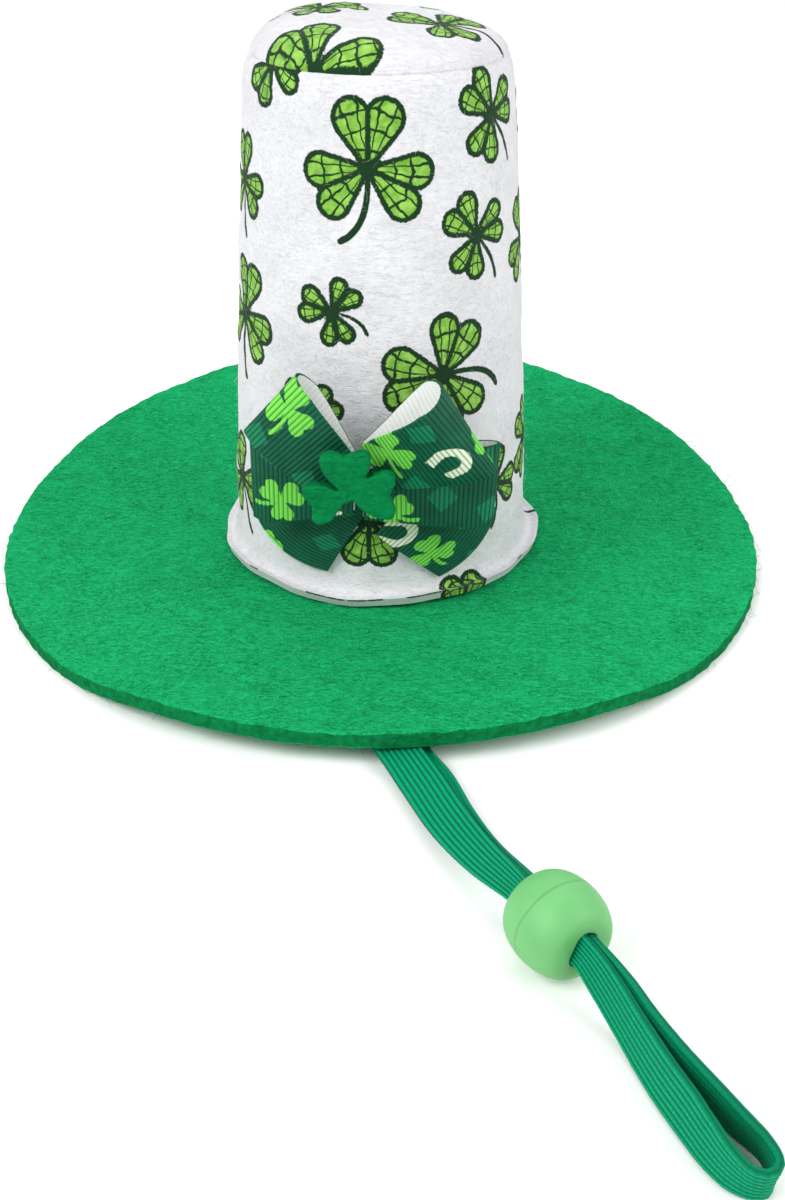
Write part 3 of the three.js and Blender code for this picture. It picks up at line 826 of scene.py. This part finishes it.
def add_fibres(name, ground, material, slot, density, longest, radius, seed, lie=1.15):
    """Short fibres over the part of a piece whose nap field is above zero. The radius is a share
    of a fibre's length, and lie is the least lean in radians."""
    tree, sockets = fibre_tree(material)
    carrier = add_object(name, ground.data.copy())
    modifier = carrier.modifiers.new("fibres", "NODES")
    modifier.node_group = tree
    given = {"Density": density, "Length": longest, "Radius": radius, "Lie": lie, "Seed": seed}
    for label, value in given.items():
        modifier[sockets[label]] = value
    mesh = made_by_modifiers(carrier)
    mesh.name = name
    mesh.shade_smooth()
    finish_piece(carrier, material)


# Settings

def length(name, description, default):
    return bpy.props.FloatProperty(name=name, description=description, default=default, min=0.0,
                                   subtype="DISTANCE", unit="LENGTH", precision=5)


def colour(name, description, default):
    return bpy.props.FloatVectorProperty(name=name, description=description, default=default,
                                         size=3, min=0.0, max=1.0, subtype="COLOR")


def number(name, description, default):
    return bpy.props.FloatProperty(name=name, description=description, default=default, min=0.0)


class BrimSettings(bpy.types.PropertyGroup):
    """Sizes and colours of the brim."""
    thickness: length("Thickness", "Thickness of the felt", 0.0025)
    dark: colour("Dark green", "Green of the felt in its hollows", (0.0004, 0.135, 0.033))
    light: colour("Light green", "Green of the felt on its fibres", (0.003, 0.305, 0.09))
    pale: colour("Pale green", "Green of the felt on its lightest fibres", (0.018, 0.50, 0.19))
    # The cut edge's darker green is painted shade on the outward-facing edge of the felt.
    edge: colour("Cut edge", "Green of the felt on its cut edge", (0.0005, 0.105, 0.027))
    loose: colour("Loose fibres", "Green of the long loose fibres", (0.10, 0.62, 0.26))
    fibres: number("Fibres", "Stray fibres per square metre", 260000.0)
    fibre_length: length("Fibre length", "Length of the longest stray fibres", 0.0026)


class CrownSettings(bpy.types.PropertyGroup):
    """Sizes and colours of the crown."""
    thickness: length("Thickness", "Thickness of the felt", 0.0015)
    shade: colour("Felt shade", "White of the felt in its hollows", (0.56, 0.56, 0.58))
    white: colour("Felt white", "White of the felt on its fibres", (0.70, 0.70, 0.725))
    # The cut edge's greener grey is painted shade, with painted green light bounced from the brim.
    edge: colour("Cut edge", "White of the felt on the hem's cut edge", (0.52, 0.57, 0.545))
    ink: colour("Ink", "Dark green of the printed lines", (0.008, 0.036, 0.012))
    lime_dark: colour("Deep lime", "Deeper lime of the printed leaves", (0.15, 0.36, 0.035))
    lime_light: colour("Lime", "Brighter lime of the printed leaves", (0.28, 0.55, 0.095))
    fibres: number("Fibres", "Stray fibres per square metre", 160000.0)
    fibre_length: length("Fibre length", "Length of the longest stray fibres", 0.0016)


class BowSettings(bpy.types.PropertyGroup):
    """Sizes and colours of the ribbon bow and the felt shamrock."""
    thickness: length("Thickness", "Thickness of the ribbon", 0.00042)
    rib_pitch: length("Rib pitch", "Distance from rib to rib along the ribbon", 0.00072)
    ground: colour("Ground", "Dark green of the ribbon", (0.004, 0.112, 0.056))
    check: colour("Check", "Emerald of the printed checks", (0.006, 0.19, 0.085))
    lime: colour("Lime", "Lime of the printed clovers", (0.16, 0.62, 0.075))
    cream: colour("Cream", "Near white of the printed horseshoes", (0.72, 0.80, 0.60))
    reverse: colour("Reverse", "White of the ribbon's reverse", (0.80, 0.82, 0.80))
    felt_dark: colour("Shamrock dark", "Green of the felt shamrock in its hollows",
                      (0.0008, 0.12, 0.034))
    felt_light: colour("Shamrock light", "Green of the felt shamrock on its fibres",
                       (0.002, 0.22, 0.063))


class StrapSettings(bpy.types.PropertyGroup):
    """Sizes and colours of the chin strap and its bead."""
    thickness: length("Thickness", "Thickness of the elastic", 0.001)
    ribs: bpy.props.IntProperty(name="Ribs", description="Lengthwise ribs across the elastic",
                                default=8, min=1)
    # The dark green is painted shade between the elastic's ribs.
    dark: colour("Dark green", "Green of the elastic between its ribs", (0.0004, 0.115, 0.052))
    light: colour("Light green", "Green of the elastic on its ribs", (0.0008, 0.32, 0.155))
    bead_radius: length("Bead radius", "Largest radius of the bead", 0.00585)
    bead: colour("Bead", "Pale green of the bead", (0.14, 0.455, 0.15))


class StageSettings(bpy.types.PropertyGroup):
    """Floor and light of the studio."""
    floor: colour("Floor", "Colour of the floor", (0.94, 0.94, 0.94))
    key: number("Key light", "Power of the main light in watts", 4.9)
    fill: number("Fill light", "Power of the second light in watts", 3.7)
    sky: number("Sky", "Strength of the light from all round", 0.66)


# Operators

class HAT_OT_strap(bpy.types.Operator):
    """Lay the elastic chin strap along its route"""
    bl_idname = "hat.strap"
    bl_label = "Chin Strap"

    def execute(self, context):
        settings = context.scene.hat_strap
        route = np.array(STRAP_ROUTE)
        at = np.linspace(0, len(route) - 1, STRAP_STEPS)
        dense = curve_through(route[:, :3], at)
        middle, spread = evenly(dense, STRAP_STEPS)
        place = np.interp(spread, run_along(dense), at)
        tilt, wide = (np.interp(place, np.arange(len(route)), route[:, k]) for k in (3, 4))
        way = unit(np.gradient(middle, axis=0))
        face = unit(np.cross(way, upright_side(way, np.radians(tilt)[:, None])))
        side = unit(np.cross(face, way))
        share = np.linspace(-1, 1, STRAP_COLUMNS)
        half = settings.thickness / MM / 2
        ridge = np.abs(np.sin((share + 1) / 2 * math.pi * settings.ribs))
        past = ((np.abs(share) - STRAP_FLAT) / (1 - STRAP_FLAT)).clip(0, 1)
        edge = np.sqrt(np.clip(1 - past ** 2, 0.05, 1))
        outer = (half - OUTER_RIB * (1 - ridge ** 0.7)) * edge
        inner = (half - INNER_RIB * (1 - ridge)) * edge
        section = np.concatenate([np.stack([share, outer], -1),
                                  np.stack([share, -inner], -1)[::-1]])
        weave = WEAVE_DEPTH * np.sin(spread / WEAVE_PITCH * 2 * math.pi)
        rings = (middle[:, None]
                 + side[:, None] * (section[None, :, :1] * wide[:, None, None] / 2)
                 + face[:, None] * (section[None, :, 1:] * (1 + weave[:, None, None])))
        rings[..., 2] = np.maximum(rings[..., 2], 0.03)
        strap = loft("elastic_strap", rings, ends="strip")
        # On the inner face the rib field stays between 0.35 and 0.65, so its painted shade in the
        # grooves is weaker.
        ribs = np.concatenate([ridge, 0.35 + 0.3 * ridge[::-1]])
        set_field(strap, "rib", np.tile(ribs, len(rings)))
        set_field(strap, "run", np.repeat(spread, rings.shape[1]))
        finish_piece(strap, elastic_material(settings), "chin_strap")
        context.scene["strap_length"] = float(spread[-1]) * MM
        context.scene["strap_path"] = (middle * MM).ravel().tolist()
        return {"FINISHED"}


class HAT_OT_bead(bpy.types.Operator):
    """Mould the slider bead, with its slot and its seam"""
    bl_idname = "hat.bead"
    bl_label = "Slider Bead"

    def execute(self, context):
        settings = context.scene.hat_strap
        radius, end = settings.bead_radius / MM, BEAD_HALF_LENGTH
        turn = all_round(BEAD_AROUND)
        cos, sin = np.cos(turn), np.sin(turn)
        slot_x = BEAD_SLOT[0] / 2 * np.sign(cos) * np.abs(cos) ** SLOT_ROUNDING[0]
        slot_y = BEAD_SLOT[1] / 2 * np.sign(sin) * np.abs(sin) ** SLOT_ROUNDING[1]
        inside = [(slot_x, slot_y, z) for z in np.linspace(end - BEAD_LIP, BEAD_LIP - end, 9)]
        lip = []
        for bend in np.linspace(0, math.pi / 2, 6)[1:]:
            wider = 1 + (1 - math.cos(bend)) * LIP_FLARE
            lip.append((slot_x * wider, slot_y * wider, BEAD_LIP * (1 - math.sin(bend)) - end))
        angles = np.concatenate([np.linspace(-math.pi / 2, -0.12, 20), np.linspace(-0.09, 0.09, 13),
                                 np.linspace(0.12, math.pi / 2, 20)])
        seam = np.exp(-(angles / SEAM_ANGLE) ** 2)
        shell = []
        for angle, near in zip(angles, seam):
            r = BEAD_END_R + (radius - BEAD_END_R) * math.cos(angle) ** BEAD_ROUNDING
            r = r - SEAM_DEPTH * near + BEAD_UNEVEN * np.cos(3 * turn + 0.7) * math.cos(angle)
            shell.append((r * cos, r * sin, end * math.sin(angle)))
        rows = inside + lip + shell + [(x, y, -z) for x, y, z in reversed(lip)]
        local = np.array([np.stack([x, y, np.full(BEAD_AROUND, z)], -1) for x, y, z in rows])
        heading = unit(BEAD_HEADING)
        side = upright_side(heading, math.radians(BEAD_TILT))
        axes = np.array([side, np.cross(heading, side), heading])
        bead = loft("moulded_bead", np.array(BEAD_AT) + local @ axes, wrap=True)
        line = np.zeros(len(rows))
        line[len(inside + lip):-len(lip)] = seam
        set_field(bead, "seam", np.repeat(line, BEAD_AROUND))
        finish_piece(bead, bead_material(settings), "slider_bead")
        return {"FINISHED"}


class HAT_OT_brim(bpy.types.Operator):
    """Cut the oval felt brim, with its head opening, and rough up its nap"""
    bl_idname = "hat.brim"
    bl_label = "Brim"

    def execute(self, context):
        settings = context.scene.hat_brim
        turn = all_round(BRIM_AROUND)
        share, height, drop = (np.array(column)[:, None] for column in zip(*self.profile()))
        x = np.cos(turn) * (HEAD_HOLE_R + (BRIM_RX - HEAD_HOLE_R) * share)
        y = np.sin(turn) * (HEAD_HOLE_R + (BRIM_RY - HEAD_HOLE_R) * share) + CROWN_Y * (1 - share)
        z = brim_underside(x, y) + height * settings.thickness / MM + drop * BRIM_BEVEL
        points = np.stack([x, y, z], -1)
        points[..., 2] += ripple(points, BRIM_LUMPS) * np.where(height > 0.9, 1.0, 0.3)
        push_out(points, turn, np.where(share > 0.97, ripple(points, RIM_LUMPS), 0.0))
        points[..., 2] = np.maximum(points[..., 2], 0.02)
        brim = loft("brim_felt", points.transpose(1, 0, 2), wrap=True)
        set_field(brim, "nap", np.tile((height > 0.4) & (share > 0.1), BRIM_AROUND).T)
        # This field marks the cut edge band, which is painted darker as painted shade.
        set_field(brim, "cut", np.tile(np.where(share >= 1.0, 0.85, 0.0), BRIM_AROUND).T)
        material = brim_material(settings)
        finish_piece(brim, material, "brim")
        add_fibres("brim_fibres", brim, material, "brim_felt", settings.fibres,
                   settings.fibre_length, BRIM_FIBRE_R, 11)
        inner_top = (height > 0.9) & (share > 0.12) & (share < 0.8)
        set_field(brim, "nap", np.tile(inner_top, BRIM_AROUND).T)
        pale, *_ = felt_material("pale_green_fibre", settings.light, settings.loose)
        add_fibres("brim_loose_fibres", brim, pale, "brim_felt", *LOOSE_FIBRES)
        return {"FINISHED"}

    def profile(self):
        """Rows round the felt's section: share from opening to edge, height, rise in bevels."""
        inset = BRIM_BEVEL / BRIM_REACH
        bend = [(inset * math.sin(a), 1 - math.cos(a)) for a in (math.pi / 6, math.pi / 3)]
        back = [(inset * math.cos(a), 1 - math.sin(a)) for a in (math.pi / 6, math.pi / 3)]
        rows = [(share, 1.0, 0.0) for share in np.linspace(inset, 1 - inset, 70)]
        rows += [(1 - inset + out, 1.0, -fall) for out, fall in bend]
        rows += [(1.0, 1.0, -1.0), (1.0, 0.5, 0.0), (1.0, 0.0, 1.0)]
        rows += [(1 - inset + out, 0.0, rise) for out, rise in back]
        rows += [(share, 0.0, 0.0) for share in np.linspace(1 - inset, inset, 26)]
        rows += [(inset - out, 0.0, rise) for out, rise in bend]
        rows += [(0.0, 0.0, 1.0), (0.0, 0.5, 0.0), (0.0, 1.0, -1.0)]
        return rows + [(inset - out, 1.0, -fall) for out, fall in back]


class HAT_OT_crown(bpy.types.Operator):
    """Form the printed felt crown, its hem and its domed top"""
    bl_idname = "hat.crown"
    bl_label = "Crown"

    def execute(self, context):
        settings = context.scene.hat_crown
        wall = self.wall(settings)
        printed_felt = crown_material(settings, "printed_white_felt")
        finish_piece(wall, printed_felt, "crown_wall")
        top = self.top(settings)
        # The top disc's felt is dimmed to 0.95 here, as painted shade against the stronger light on
        # top.
        printed_felt = crown_material(settings, "printed_white_felt_top_painted_shade", 0.95)
        finish_piece(top, printed_felt, "crown_top")
        plain, *_ = felt_material("white_felt_fibre", settings.shade, settings.white)
        for ground, seed in ((wall, 21), (top, 22)):
            add_fibres(f"{ground.name}_fibres", ground, plain, "crown_felt", settings.fibres,
                       settings.fibre_length, CROWN_FIBRE_R, seed)
        return {"FINISHED"}

    def wall(self, settings):
        half = settings.thickness / MM / 2
        seat, seam_r = SEAT_Z + half, cone_radius(SEAM_Z) - half
        line = [(HEM_R - inward, seat + rise) for inward, rise in HEM_LINE]
        line += [(cone_radius(z) - half, z) for z in WALL_HEIGHTS]
        line += [(cone_radius(CONE_HIGH_Z) - half - 0.1, CONE_HIGH_Z)]
        line += [(seam_r - inward, SEAM_Z + rise) for inward, rise in SEAM_LINE]
        dense, along = evenly(curve_through(line, np.linspace(0, len(line) - 1, 900)), 900)
        far = np.concatenate([HEM_EDGE_ROWS, np.linspace(1.25, along[-1], 182)])
        outer = np.stack([np.interp(far, along, column) for column in dense.T], -1)
        inner = evenly(dense, 24)[0][::-1]
        outside, inside = (run + beside_way(run) * half for run in (outer, inner))
        up = np.linspace(0, 1, 7)[1:-1]
        edge_rows = inside[-1] + (outside[0] - inside[-1]) * up[:, None]
        profile = np.concatenate([outside, inside, edge_rows])
        past_edge = np.concatenate([far, np.full(len(inner), 9.0), 2 * half * (up - 1)])
        turn = all_round(WALL_AROUND) - math.pi / 2
        r, z = profile[:, :1], profile[:, 1:]
        cut = smoothstep(r, HEM_R - 1.6, HEM_R)
        r = r + cut * sum(reach * np.sin(count * turn + phase) for reach, count, phase in HEM_WAVES)
        x, y = r * np.cos(turn), r * np.sin(turn) + CROWN_Y
        seated = 1 - smoothstep(z, SEAT_Z, HEM_TOP_Z)
        z = z + seated * (brim_underside(x, y) - ARCH_SEAT)
        z = z + cut * HEM_LIFT * (1 + np.sin(5 * turn + 1.0))
        points = np.stack([x, y, z], -1)
        above_hem = smoothstep(points[..., 2], SEAT_Z + 2, HEM_TOP_Z)
        push_out(points, turn, ripple(points, WALL_LUMPS) * above_hem)
        points = points.transpose(1, 0, 2)
        wall = loft("crown_felt_wall", points, wrap=True)
        flat = points.reshape(-1, 3)
        round_by = np.arctan2(flat[:, 0], CROWN_Y - flat[:, 1])

        def places(row):
            gap = (round_by - math.radians(row[0]) + math.pi) % (2 * math.pi) - math.pi
            return gap * cone_radius(row[1]), flat[:, 2] - row[1]

        edge = np.tile(past_edge, WALL_AROUND)
        marks = np.full(len(flat), 9.0)
        for first, last in HEM_MARKS:
            off = np.abs((np.degrees(round_by) - (first + last) / 2 + 180) % 360 - 180)
            past = np.radians(off - (last - first) / 2) * HEM_R
            marks = np.minimum(marks, np.maximum(past, np.abs(edge + 0.1) - 0.15))
        printed(wall, places, CROWN_PRINT, marks)
        # This field marks the hem's cut band, where the edge colour paints shade and green bounce
        # light.
        set_field(wall, "cut", np.where(edge < 0, 0.9, 0.0))
        wall.data.set_sharp_from_angle(angle=math.radians(50))
        outer_side = np.tile(np.arange(len(profile)) < len(outer), WALL_AROUND)
        from_axis = np.hypot(flat[:, 0], flat[:, 1] - CROWN_Y)
        set_field(wall, "nap", outer_side & (from_axis > WALL_NAP_R))
        return wall

    def top(self, settings):
        seam_r = cone_radius(SEAM_Z) - 0.9
        size, foot = (seam_r, DOME_Z - SEAM_Z), (0, SEAM_Z + 0.3)
        at = np.linspace(0, len(DOME_LINE) - 1, 400)
        dense = curve_through(DOME_LINE, at) * size + foot
        upper, _ = evenly(dense[:-4], 84)
        lower, _ = evenly(dense[:-12], 12)
        lower = lower - beside_way(lower) * settings.thickness / MM * 0.9
        profile = np.concatenate([upper[::-1], lower])
        turn = all_round(TOP_AROUND)
        r, z = profile[:, :1], profile[:, 1:]
        x, y = r * np.cos(turn), r * np.sin(turn)
        inside = np.maximum(0, 1 - (r / seam_r) ** 4)
        z = z - DOME_LEAN * x / seam_r * inside
        points = np.stack([x, y + CROWN_Y, z], -1)
        points[..., 2] += ripple(points, TOP_LUMPS) * smoothstep(seam_r - r, 0.0, 3.0)
        top = loft("crown_felt_top", points, ends="face")
        flat = points.reshape(-1, 3)
        set_field(top, "cut", np.zeros(len(flat)))
        printed(top, lambda row: (flat[:, 0] - row[0], flat[:, 1] - CROWN_Y - row[1]), TOP_PRINT)
        set_field(top, "nap", np.repeat(np.arange(len(profile)) < len(upper), TOP_AROUND))
        return top


class HAT_OT_bow(bpy.types.Operator):
    """Fold the ribbed ribbon into the loops and tails of the bow"""
    bl_idname = "hat.bow"
    bl_label = "Ribbon Bow"

    def execute(self, context):
        settings = context.scene.hat_bow
        materials = [ribbon_material(settings), reverse_material(settings)]
        kinds = (("tail", TAILS, self.tail_surface, "laid"),
                 ("loop", LOOPS, self.loop_surface, "folded"))
        for kind, rows, surface, held in kinds:
            for row in rows:
                name = f"{kind}_{row['name']}"
                self.strip(name, surface(row), row["start"], settings, materials, held)
        return {"FINISHED"}

    def tail_surface(self, row):
        """Points of a tail, lengthwise and across, with the way out of its printed side."""
        low, high, end_low, end_high = np.array(row["root"] + row["end"])
        u = np.linspace(0, 1, 200)[:, None]
        v = np.linspace(0, 1, RIBBON_COLUMNS)[None, :]
        bulge = TAIL_END_BULGE * 4 * v * (1 - v) * u ** 2
        mid_way = unit(end_low + end_high - low - high)
        arc, z = ((1 - v) * ((1 - u) * low[k] + u * end_low[k])
                  + v * ((1 - u) * high[k] + u * end_high[k]) + bulge * mid_way[k] for k in (0, 1))
        out = TAIL_OUT + TAIL_WAVE * np.sin(u * 5 + v * 2)
        return on_crown(arc, z, out), on_crown(arc, z, 2.0) - on_crown(arc, z, 1.0)

    def loop_surface(self, row):
        """Points of a loop, lengthwise and across, with the way out of its printed side."""
        start, end = bow_place(*row["root"]), bow_place(*row["bend"])
        along = end - start
        flat = unit([-along[2], 0, along[0]])
        root_way = flat * np.sign(flat[2])
        swing, tip = math.radians(row["turn"]), math.radians(row["lean"])
        bend_way = np.array([math.sin(swing) * math.cos(tip), math.sin(tip),
                             math.cos(swing) * math.cos(tip)])
        reach = math.cos(ROOT_PHASE)
        u = np.linspace(0, 1, 500)
        phase = ROOT_PHASE + (2 * math.pi - 2 * ROOT_PHASE) * u
        share = (reach - np.cos(phase)) / (1 + reach)
        across = unit(root_way * (1 - share[:, None]) + bend_way * share[:, None])
        outward = unit(np.cross(across, along))
        outward = outward * -np.sign(outward[:, 1:2])
        side = np.sign(0.5 - u + 1e-9)
        half = (PINCH_WIDTH + (row["width"] - PINCH_WIDTH) * np.clip(share * 1.25, 0, 1)) / 2
        v = np.linspace(-1, 1, RIBBON_COLUMNS)
        gape = (row["gape"] / 2 * np.sin(phase) * share)[:, None] * (1 + row["flare"] * v)
        spread = gape + (LAYER / 2 * (1 - share) * side)[:, None]
        points = ((start + along * share[:, None])[:, None] + outward[:, None] * spread[..., None]
                  + across[:, None] * (half[:, None] * v)[..., None])
        out = unit(np.cross(np.gradient(points, axis=1), np.gradient(points, axis=0)))
        front, middle = len(u) // 4, RIBBON_COLUMNS // 2
        if (out[front, middle] * outward[front]).sum() < 0:
            out = -out
        return points, out

    def strip(self, name, surface, start, settings, materials, held):
        """Makes a ribbed and printed ribbon over a surface."""
        points, out = surface
        pitch, thick = settings.rib_pitch / MM, settings.thickness / MM
        columns = points.shape[1]
        run = run_along(points[:, columns // 2])
        rows = max(int(run[-1] / pitch) * ROWS_PER_RIB, 24)
        far = np.linspace(0, run[-1], rows)
        index = np.interp(far, run, np.arange(len(run)))
        low = np.minimum(index.astype(int), len(run) - 2)
        part = (index - low)[:, None, None]
        points = points[low] * (1 - part) + points[low + 1] * part
        out = unit(out[low] * (1 - part) + out[low + 1] * part)
        rib = np.abs(np.sin(math.pi * far / pitch))
        half = (thick / 2 + RIBBON_RIB * (rib - 0.6))[:, None, None]
        rings = np.concatenate([points + out * half, (points - out * half)[:, ::-1]], axis=1)
        strip = loft(f"ribbon_{name}", rings, ends="strip")
        widths = np.linalg.norm(np.diff(points, axis=1), axis=2)
        beside = np.concatenate([np.zeros((rows, 1)), np.cumsum(widths, axis=1)], axis=1)
        beside = beside - beside[:, -1:] / 2
        across = np.concatenate([beside, beside[:, ::-1]], axis=1)
        along = np.repeat(far[:, None] + start, 2 * columns, axis=1)
        for kind, values in ribbon_fields(along, across).items():
            set_field(strip, kind, values)
        set_field(strip, "rib", np.repeat(rib, 2 * columns))
        finish_piece(strip, materials, f"bow_{name}")
        corners = np.array([(p.vertices[0], p.vertices[2]) for p in strip.data.polygons])
        behind = (corners % (2 * columns) >= columns).all(axis=1)
        strip.data.polygons.foreach_set("material_index", behind.astype(np.int32))
        strip.data.set_sharp_from_angle(angle=math.radians(60))


class HAT_OT_applique(bpy.types.Operator):
    """Cut the small felt shamrock on the middle of the bow"""
    bl_idname = "hat.applique"
    bl_label = "Felt Shamrock"

    def execute(self, context):
        settings = context.scene.hat_bow
        outline = self.outline()
        rings = []
        for shrink, lift in APPLIQUE_EDGE:
            x, z = (outline * shrink).T
            rings.append(np.stack([x, np.full(len(x), -lift * APPLIQUE_THICK / 2), z], -1))
        blank = loft("felt_shamrock", rings, ends="face")
        remesh = blank.modifiers.new("even", "REMESH")
        remesh.mode = "VOXEL"
        remesh.voxel_size = 0.00022
        blank.modifiers.new("soften", "SMOOTH").iterations = 3
        mesh = made_by_modifiers(blank)
        points = np.zeros(len(mesh.vertices) * 3)
        mesh.vertices.foreach_get("co", points)
        points = points.reshape(-1, 3) / MM
        radius = np.hypot(points[:, 0], points[:, 2])
        points[:, 1] -= APPLIQUE_CURL * smoothstep(radius, 2.0, 7.5)
        points[:, 1] += ripple(points, APPLIQUE_LUMPS)
        fray = ripple(points, APPLIQUE_FRAY)
        points[:, 0] += fray
        points[:, 2] -= fray
        x, out, z = APPLIQUE_AT
        points += bow_place(x, out + APPLIQUE_THICK / 2, z)
        mesh.vertices.foreach_set("co", (points * MM).ravel())
        mesh.update()
        mesh.shade_smooth()
        set_field(blank, "nap", np.ones(len(points)))
        felt, *_ = felt_material("shamrock_felt", settings.felt_dark, settings.felt_light, 330.0)
        finish_piece(blank, felt, "shamrock_applique")
        x, y = (outline * MM).T
        add_fibres("felt_shamrock_fibres", blank, felt, "applique_felt", *SHAMROCK_FIBRES)
        return {"FINISHED"}

    def outline(self):
        """The three heart leaves' outline about their common middle."""
        points = []
        for heading, size in APPLIQUE_LEAVES:
            way = math.radians(heading)
            for ends in APPLIQUE_CURVES:
                for t in np.linspace(0, 1, 25)[:-1]:
                    weights = ((1 - t) ** 3, 3 * t * (1 - t) ** 2, 3 * t * t * (1 - t), t ** 3)
                    along, across = (size * sum(w * e[k] for w, e in zip(weights, ends))
                                     for k in (0, 1))
                    points.append((math.cos(way) * along - math.sin(way) * across,
                                   math.sin(way) * along + math.cos(way) * across))
        return np.array(points)


class HAT_OT_stage(bpy.types.Operator):
    """Set the pale floor, the soft lights and the camera"""
    bl_idname = "hat.stage"
    bl_label = "Stage"

    def execute(self, context):
        scene = context.scene
        settings = scene.hat_stage
        mesh = bpy.data.meshes.new("floor")
        mesh.from_pydata([(-3, -3, 0), (3, -3, 0), (3, 3, 0), (-3, 3, 0)], [], [(0, 1, 2, 3)])
        mesh.materials.append(floor_material(settings))
        floor = add_object("floor", mesh)
        for name, place, size, power, share in LIGHTS:
            lamp = bpy.data.lights.new(name, "AREA")
            lamp.shape = "DISK"
            lamp.size = size
            lamp.energy = getattr(settings, power) * share
            light = add_object(name, lamp)
            light.location = place
            aim = Vector(LIGHT_AIM) - light.location
            light.rotation_euler = aim.to_track_quat("-Z", "Y").to_euler()
        world = bpy.data.worlds.new("studio")
        world.use_nodes = True
        sky = world.node_tree.nodes["Background"]
        sky.inputs["Color"].default_value = (1.0, 1.0, 1.0, 1.0)
        sky.inputs["Strength"].default_value = settings.sky
        scene.world = world
        scene.view_settings.view_transform = "Standard"
        lens = bpy.data.cameras.new("camera")
        lens.lens = CAMERA_LENS
        lens.clip_start = 0.005
        camera = add_object("camera", lens)
        camera.location = Vector(CAMERA_AT) * MM
        camera.rotation_euler = (math.radians(90 - CAMERA_PITCH), 0.0, 0.0)
        scene.camera = camera
        return {"FINISHED"}


class HAT_PT_panel(bpy.types.Panel):
    """Lists the hat's pieces and their settings"""
    bl_idname = "HAT_PT_panel"
    bl_label = "Shamrock Top Hat"
    bl_space_type = "VIEW_3D"
    bl_region_type = "UI"
    bl_category = "Hat"

    def draw(self, context):
        for title, key, operators in PANEL_ROWS:
            box = self.layout.box()
            box.label(text=title)
            settings = getattr(context.scene, key)
            for name in settings.__annotations__:
                box.prop(settings, name)
            for operator in operators:
                box.operator(operator)


PANEL_ROWS = [
    ("Stage", "hat_stage", ("hat.stage",)),
    ("Strap and bead", "hat_strap", ("hat.strap", "hat.bead")),
    ("Brim", "hat_brim", ("hat.brim",)),
    ("Crown", "hat_crown", ("hat.crown",)),
    ("Bow", "hat_bow", ("hat.bow", "hat.applique")),
]
SETTINGS = {
    "hat_stage": StageSettings,
    "hat_strap": StrapSettings,
    "hat_brim": BrimSettings,
    "hat_crown": CrownSettings,
    "hat_bow": BowSettings,
}
CLASSES = (*SETTINGS.values(), HAT_OT_stage, HAT_OT_strap, HAT_OT_bead, HAT_OT_brim, HAT_OT_crown,
           HAT_OT_bow, HAT_OT_applique, HAT_PT_panel)


def register():
    for group in CLASSES:
        bpy.utils.register_class(group)
    for key, group in SETTINGS.items():
        setattr(bpy.types.Scene, key, bpy.props.PointerProperty(type=group))


def unregister():
    for key in SETTINGS:
        delattr(bpy.types.Scene, key)
    for group in reversed(CLASSES):
        bpy.utils.unregister_class(group)


def main():
    register()
    bpy.ops.hat.stage()
    bpy.ops.hat.strap()
    bpy.ops.hat.bead()
    bpy.ops.hat.brim()
    bpy.ops.hat.crown()
    bpy.ops.hat.bow()
    bpy.ops.hat.applique()


if __name__ == "__main__":
    main()
